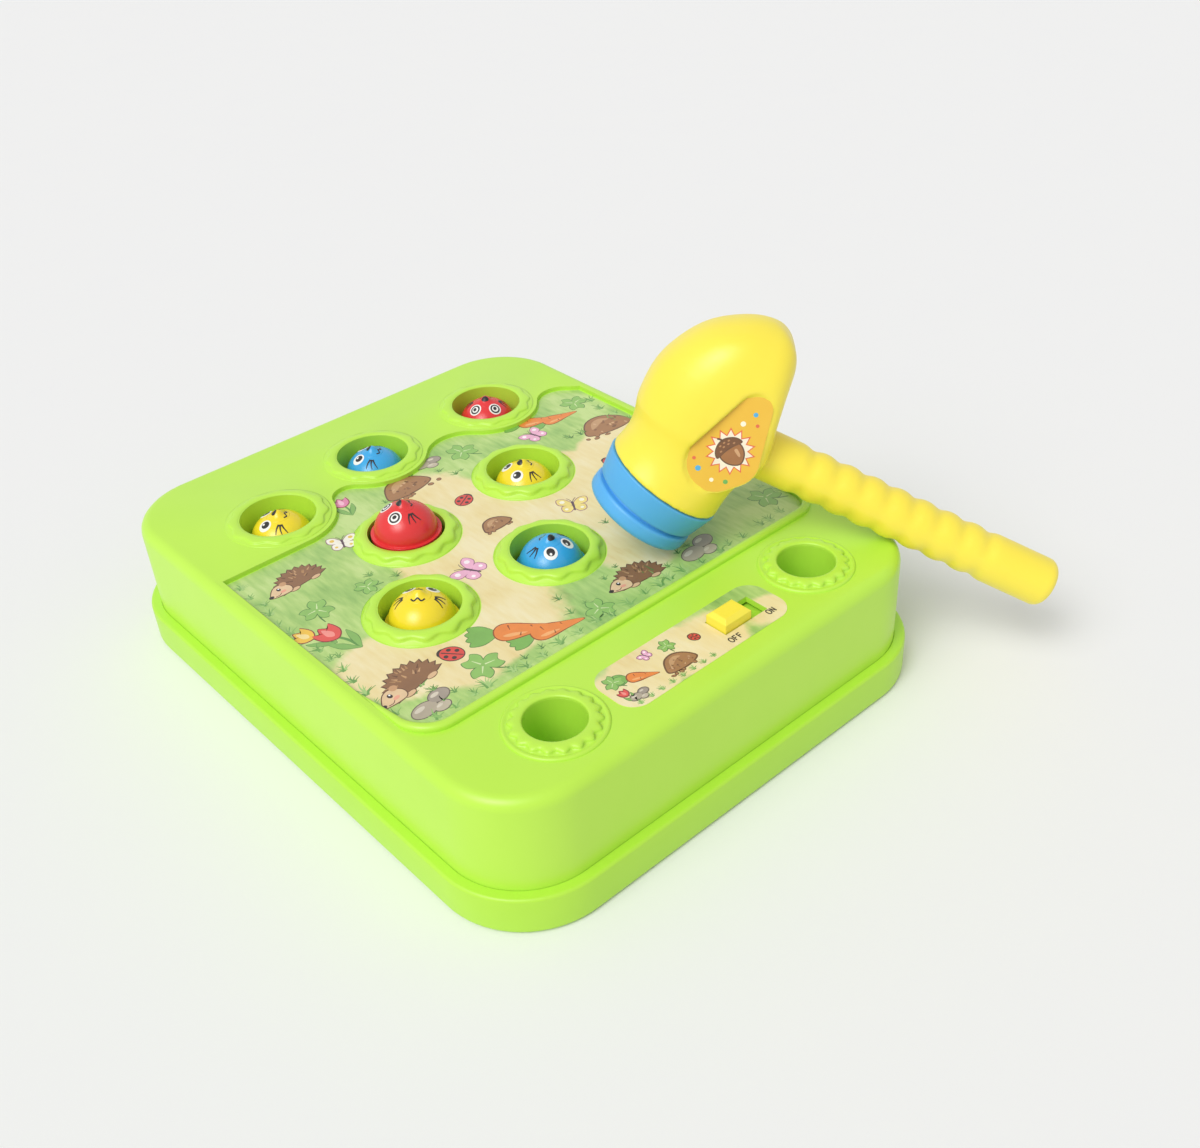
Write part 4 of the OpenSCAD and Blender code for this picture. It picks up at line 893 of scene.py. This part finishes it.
for number, (x, y) in enumerate(MOLE_AT):
    base = DOME_Z + LIFT[number]
    points, faces = [], []
    for sink in (-TIP_OVER, TIP_SUNK):
        points.append(Vector((x, y, base + dome_top(0) - sink)) * MM)
        points += [Vector((x + r * math.cos(a), y + r * math.sin(a), base + dome_top(r) - sink)) * MM
                   for r in (TIP_EDGE * k / TIP_ROWS for k in range(1, TIP_ROWS + 1))
                   for a in (2 * math.pi * j / TIP_SIDES for j in range(TIP_SIDES))]
    per = len(points) // 2
    for first in (0, per):
        faces += [(first, first + 1 + j, first + 1 + (j + 1) % TIP_SIDES) for j in range(TIP_SIDES)]
        faces += [tuple(first + 1 + i for i in q) for q in loft_faces(TIP_ROWS, TIP_SIDES)]
    edge = 1 + (TIP_ROWS - 1) * TIP_SIDES
    faces += [(edge + j, per + edge + j, per + edge + (j + 1) % TIP_SIDES, edge + (j + 1) % TIP_SIDES)
              for j in range(TIP_SIDES)]
    tip = piece_from(f"mole_{number + 1}_tip", points, faces, MOLE_SKINS[number], f"mole_{number + 1}")
print("tips:", len(MOLE_AT))

# %% Mole faces
TOWARDS_EYE = -131
FACE_TURN = [-82, -95, 0, -62, -60, 45, 178, -20]
FACE_BLACK, FACE_WHITE = "#1E1C1C", "#F6F4F0"
EYE_OUT, EYE_UP, WHISKER_OUT, WHISKER_LONG = 4.7, 5.6, 6.0, 4.6
INK_THICKER, INK_OVER = 3, 0.02


def over_dome(number):
    x0, y0 = MOLE_AT[number]
    turn = math.radians(TOWARDS_EYE + FACE_TURN[number] - 90)
    base = DOME_Z + LIFT[number]

    def place(x, y, h):
        tilt = math.hypot(x, y) / ((DOME_R + CROWN) / 2)
        a = math.atan2(y, x) + turn
        r = DOME_R * math.sin(tilt)
        out = Vector((math.sin(tilt) / DOME_R, math.cos(tilt) / CROWN)).normalized()
        out *= h * INK_THICKER + INK_OVER
        return Vector((x0 + (r + out.x) * math.cos(a), y0 + (r + out.x) * math.sin(a),
                       base + dome_top(r) + out.y)) * MM
    return place


def ring_eye(x, y):
    return [(disc(oval(x, y, 2.9, 3.0), 5), FACE_WHITE, 0), (disc(oval(x, y, 2.25, 2.35), 4), FACE_BLACK, 1),
            (disc(oval(x, y, 1.5, 1.6), 3), FACE_WHITE, 2),
            (disc(oval(x + 0.15, y - 0.1, 0.8, 0.95), 2), FACE_BLACK, 3)]


def bead_eye(x, y, look):
    return [(disc(oval(x, y, 2.75, 2.85), 5), FACE_WHITE, 0),
            (disc(oval(x + look, y - 0.3, 1.65, 1.8), 3), FACE_BLACK, 1),
            (disc(oval(x + look + 0.55, y + 0.4, 0.5, 0.55), 2), FACE_WHITE, 2)]


def mole_face(number):
    red = MOLE_SKINS[number] is mole_red
    inks = [(disc(oval(0, 1.3, 1.6, 1.1), 4), FACE_BLACK, 1)]
    for side in (-1, 1):
        eye_x = side * EYE_OUT
        inks += ring_eye(eye_x, EYE_UP) if red else bead_eye(eye_x, EYE_UP, -0.3 * side)
        for k, lean in enumerate((-36, -8, 20)):
            a = math.radians(lean)
            root = (side * WHISKER_OUT, -1.4 + 0.55 * k)
            tip = (side * (WHISKER_OUT + WHISKER_LONG * math.cos(a)), root[1] + WHISKER_LONG * math.sin(a))
            bow = ((root[0] + tip[0]) / 2, (root[1] + tip[1]) / 2 + 0.3)
            inks.append((ribbon(smooth_line([root, bow, tip], 8), 0.8, 0.3), FACE_BLACK, 0))
    mouth = smooth_line([(-2.6, -2.5), (-1.4, -3.5), (0, -2.7), (1.4, -3.5), (2.6, -2.5)], 8)
    inks.append((ribbon(mouth, 0.55, 0.55), FACE_BLACK, 0))
    return inks


for number in range(len(MOLE_AT)):
    print_inks(f"mole_{number + 1}_face", mole_face(number), over_dome(number), pad_ink, f"mole_{number + 1}")

# %% [markdown]
# ## Hammer head
# The hammer is blown from soft plastic, so nothing on it has a sharp inside corner. The CAD head joins two
# plain forms. A copy of its mesh is rebuilt from small voxels and relaxed, which turns the joint into a
# fillet and rounds the rims of the two cheeks. Four soft pulls then give it the horn of the real one: a
# fuller crown, a blunter tail, a tail corner that reaches towards the handle, and a hollow below it. A
# last pull draws the neck in, so that the handle leaves the head at its own width.

# %% Hammer head from voxels
HAMMER_AT = Vector((53.45, -61.36, 103.42))
HAMMER_TURN = [math.radians(a) for a in (18.59, 61.67, 150.97)]
on_board = Matrix.Translation(HAMMER_AT) @ (Matrix.Rotation(HAMMER_TURN[2], 4, "Z")
                                            @ Matrix.Rotation(HAMMER_TURN[1], 4, "Y")
                                            @ Matrix.Rotation(HAMMER_TURN[0], 4, "X"))
VOXEL, RELAX_STEPS = 0.6, 36
head = bpy.data.objects.new("hammer_head_blown", nodes["hammer_head"].data.copy())
scene.collection.objects.link(head)
weld = head.modifiers.new("weld", "WELD")
weld.merge_threshold = 1e-6
remesh = head.modifiers.new("voxels", "REMESH")
remesh.mode = "VOXEL"
remesh.voxel_size = VOXEL * MM
remesh.use_smooth_shade = True
relax = head.modifiers.new("relax", "SMOOTH")
relax.factor = 0.5
relax.iterations = RELAX_STEPS
bpy.context.view_layer.update()
solid = bpy.data.meshes.new_from_object(head.evaluated_get(bpy.context.evaluated_depsgraph_get()))
head.modifiers.clear()
head.data = solid
head.data.materials.clear()
head.data.materials.append(yellow_blown)
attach(head, "hammer")
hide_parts("hammer_head")
print("hammer head:", len(solid.polygons), "faces from voxels of", VOXEL, "mm")

# %% Horn and neck of the head
PULLS = [((-14.6, 27.5), (-0.5, 1.2)), ((-44.0, 8.0), (1.6, -0.4)), ((-41.0, -17.0), (-0.8, -1.5)),
         ((-21.0, -22.0), (0.8, 1.6))]
PULL_REACH, CHEEK_FROM, CHEEK_TO = 9.0, 8.0, 19.5
NECK_TOP, NECK_LOW, NECK_WIDE, NECK_FREE, NECK_SHARE = -23.0, -27.0, 13.0, 17.0, 0.34


def ease(values, start, end):
    t = np.clip((values - start) / (end - start), 0, 1)
    return t * t * (3 - 2 * t)


flat = np.empty(len(solid.vertices) * 3)
solid.vertices.foreach_get("co", flat)
turn = np.array(on_board.to_3x3())
local = (flat.reshape(-1, 3) / MM - np.array(HAMMER_AT)) @ turn
inner = 1 - ease(np.abs(local[:, 1]), CHEEK_FROM, CHEEK_TO)
moved = local.copy()
for (x, z), (dx, dz) in PULLS:
    near = inner * np.exp(-((local[:, 0] - x) ** 2 + (local[:, 2] - z) ** 2) / (2 * PULL_REACH ** 2))
    moved[:, 0] += dx * near
    moved[:, 2] += dz * near
from_axis = np.hypot(moved[:, 0], moved[:, 1])
narrow = ease(moved[:, 2], NECK_TOP, NECK_LOW) * (1 - ease(from_axis, NECK_WIDE, NECK_FREE))
moved[:, :2] *= (1 - NECK_SHARE * narrow)[:, None]
solid.vertices.foreach_set("co", ((moved @ turn.T + np.array(HAMMER_AT)) * MM).ravel())
solid.update()
print("largest pull:", round(float(np.abs(moved - local).max()), 2), "mm")

# %% [markdown]
# ## Hammer handle
# The handle has soft rings for the grip, with eight shallow grooves between them that are shallower on the
# sides of the cheeks, and a smooth last stretch with a round end. It is a loft along the handle's axis, in
# the hammer's own frame, which is then set down on the board as the CAD hammer is. Its first rows lie
# inside the head.

# %% Hammer handle
HANDLE_R, HANDLE_END, HANDLE_START, TIP_R = 9.85, 150.0, 22.0, 4.0
RIB_START, RIB_PITCH, RIB_COUNT, RIB_DEPTH, RIB_CURVE = 42.2, 10.9, 8, 0.95, 1.4
RIB_SIDE, HANDLE_SIDES, HANDLE_STEP = 0.3, 80, 0.6
stations = [(along, HANDLE_R) for along in np.arange(HANDLE_START, HANDLE_END - TIP_R, HANDLE_STEP)]
stations += [(HANDLE_END - TIP_R + TIP_R * math.sin(a), HANDLE_R - TIP_R + TIP_R * math.cos(a))
             for a in (math.radians(15 * k) for k in range(7))]
points = []
for along, r in stations:
    turns = (along - RIB_START) / RIB_PITCH
    ringed = -0.5 < turns < RIB_COUNT - 0.5
    groove = ((1 + math.cos(2 * math.pi * turns)) / 2) ** RIB_CURVE if ringed else 0.0
    for j in range(HANDLE_SIDES):
        a = 2 * math.pi * j / HANDLE_SIDES
        e = r - RIB_DEPTH * groove * (RIB_SIDE + (1 - RIB_SIDE) * ease(abs(math.cos(a)), 0.1, 0.8))
        points.append(on_board @ Vector((e * math.cos(a), e * math.sin(a), -along)) * MM)
faces = capped_loft(len(stations), HANDLE_SIDES)
handle = piece_from("hammer_handle_rings", points, faces, yellow_blown, "hammer")
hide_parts("hammer_handle")
print("handle:", len(points), "points along", HANDLE_END - HANDLE_START, "mm")

# %% [markdown]
# ## Striking cap
# The blue cap is a soft moulding that is round about its own axis: a band that narrows, a deep groove, and
# a pad with a well rounded edge. One profile, turned around that axis, gives all of it. Close pairs of
# rows hold the shading flat beside each rounded corner.

# %% Striking cap
RING_AT, FACE_LEAN, CAP_SIDES = Vector((25.5, 0, 4.64)), 10.3, 120
CAP_BAND = [(23.9, 0.2), (24.25, 0.35), (24.25, 0.8), (21.9, 10.0), (21.7, 10.7), (21.5, 11.0), (21.0, 11.2)]
CAP_GROOVE = [(19.7, 11.35), (19.3, 11.6), (19.2, 12.0), (19.3, 12.35), (19.7, 12.55)]
CAP_PAD = [(20.8, 12.7), (21.4, 13.0), (21.7, 13.5), (21.8, 14.1), (21.8, 16.6), (21.7, 17.5), (21.4, 18.3),
           (20.8, 18.95), (19.9, 19.35), (18.8, 19.5), (16.0, 19.5)]
cap_rows = CAP_BAND + CAP_GROOVE + CAP_PAD
on_ring = on_board @ Matrix.Translation(RING_AT) @ Matrix.Rotation(math.radians(90 - FACE_LEAN), 4, "Y")
points = [on_ring @ Vector((r * math.cos(a), r * math.sin(a), z)) * MM for r, z in cap_rows
          for a in (2 * math.pi * j / CAP_SIDES for j in range(CAP_SIDES))]
cap = piece_from("hammer_cap_soft", points, capped_loft(len(cap_rows), CAP_SIDES), blue_cap, "hammer")
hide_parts("hammer_cap")
print("cap:", len(cap_rows), "rows")

# %% [markdown]
# ## Cheek stickers
# A drop-shaped sticker sits in the recess of each cheek, and its film is a warm yellow. The head's surface
# falls away from the flat film, so two copies of the film's own mesh in the head's plastic fill the room
# below it: a thin backing, wider and a little higher, closes the gap to the wall of the recess, and a seat
# with sloping sides carries the lower edge.

# %% Cheek films
film, tree = blank("polypropylene film, printed warm yellow")
place = add(tree, "ShaderNodeTexCoord").outputs["Object"]
cloud = add(tree, "ShaderNodeTexNoise", {"Scale": 1 / (9 * MM), "Detail": 3.0}, {"Vector": place})
tone = add(tree, "ShaderNodeMix", {"data_type": "RGBA", 6: linear("#F3C648"), 7: linear("#EFB93C")},
           {0: cloud.outputs["Fac"]})
skin = add(tree, "ShaderNodeBsdfPrincipled", {"IOR": 1.5, "Roughness": 0.4}, {"Base Color": tone.outputs[2]})
add(tree, "ShaderNodeOutputMaterial", {}, {"Surface": skin.outputs[0]})

BACKING_WIDE, BACKING_RISE, BACKING_SINK = 1.1, 2.2, 0.12
SEAT_FACE, SEAT_FOOT = (19.56, 1.03), (13.5, 1.12)  # distance from the head's middle, growth of the outline


def backing_point(p, middle):
    inward = math.copysign(BACKING_SINK, middle.y)
    return Vector((middle.x + (p.x - middle.x) * BACKING_WIDE, p.y - inward, p.z + BACKING_RISE))


def seat_point(p, middle):
    y, wide = SEAT_FACE if abs(p.y) > abs(middle.y) else SEAT_FOOT
    return Vector((middle.x + (p.x - middle.x) * wide, math.copysign(y, p.y),
                   middle.z + (p.z - middle.z) * wide))


for side in ("left", "right"):
    dress(f"hammer_sheet_{side}", film)
    sheet = nodes[f"hammer_sheet_{side}"].data
    local = [on_board.inverted() @ (v.co / MM) for v in sheet.vertices]
    middle = sum(local, Vector((0, 0, 0))) / len(local)
    faces = [tuple(f.vertices) for f in sheet.polygons]
    for part, shape in (("backing", backing_point), ("seat", seat_point)):
        points = [on_board @ shape(p, middle) * MM for p in local]
        under = piece_from(f"hammer_{part}_{side}", points, faces, yellow_blown, "hammer", smooth=False)
print("cheek films: 2, each on a backing and a seat")

# %% [markdown]
# ## Cheek prints
# The print of the stickers is a plain one: an acorn in front of a burst of rays, with a few dots. The
# drawing is flat in the plane of the cheek, and a matrix carries it onto each side of the hammer.

# %% Cheek prints
BURST_AT, BURST_RAYS, CHEEK_Y = (-2.0, -9.2), 14, 19.6 + SHEET_T
ACORN_AT = Place(-2.0, -9.4, 0.72, 28)


def acorn(place):
    nut = loop_at([(0, -8), (-4.6, -4.6), (-5.6, 1), (0, 2.6), (5.6, 1), (4.6, -4.6)], place)
    inks = outlined(nut, "#A66F43", 4, LINE, 0.5)
    light = loop_at([(-3.4, -0.6), (-2.8, -4.2), (-1.6, -4.6), (-1.8, -0.4)], place)
    inks.append((disc(light), "#D3A377", 6))
    hat = loop_at([(-7, 1), (-6, 4.6), (-2, 7), (2, 7), (6, 4.6), (7, 1), (0, 2.2)], place)
    inks += outlined(hat, "#7A5034", 6, LINE, 0.5)
    for scale in ((-4, 3), (-1.4, 4.2), (1.4, 4.2), (4, 3), (-2.6, 5.6), (0, 6), (2.6, 5.6)):
        inks.append((disc(oval_at(scale, (0.7, 0.5), place, place.turn, 10)), "#B5835A", 8))
    stalk = stroke_at([(0, 6.6), (0.4, 8.4), (1.6, 9.8)], place, 1.2 * place.size, 0.8 * place.size)
    return inks + [(stalk, LINE, 8)]


def burst(outer, inner, colour, layer):
    corners = [((outer, inner)[k % 2], math.pi * k / BURST_RAYS) for k in range(2 * BURST_RAYS)]
    star = [Vector((BURST_AT[0] + r * math.cos(a), BURST_AT[1] + r * math.sin(a))) for r, a in corners]
    return [(disc(star), colour, layer)]


cheek = burst(9.4, 6.6, "#E8704A", 0) + burst(8.4, 6.0, "#FBEFD8", 2) + acorn(ACORN_AT)
for x, y, r, tone in ((9.0, -1.5, 1.1, "#58B4E6"), (11.0, -8.0, 0.8, "#FFF6DC"), (6.0, 1.6, 0.7, "#E8704A"),
                      (-13.5, -8.5, 1.0, "#FFF6DC"), (-18.5, -11.0, 0.9, "#58B4E6"),
                      (-15.0, -13.5, 0.7, "#E8704A"), (9.5, -13.0, 0.9, "#6FB45A")):
    cheek.append((disc(oval(x, y, r, r, 0, 18)), tone, 1))
for side, name in ((1, "cheek_print_left"), (-1, "cheek_print_right")):
    print_inks(name, cheek, lambda x, y, h, s=side: on_board @ Vector((x, s * (CHEEK_Y + h), y)) * MM,
               sheet_ink, "hammer")
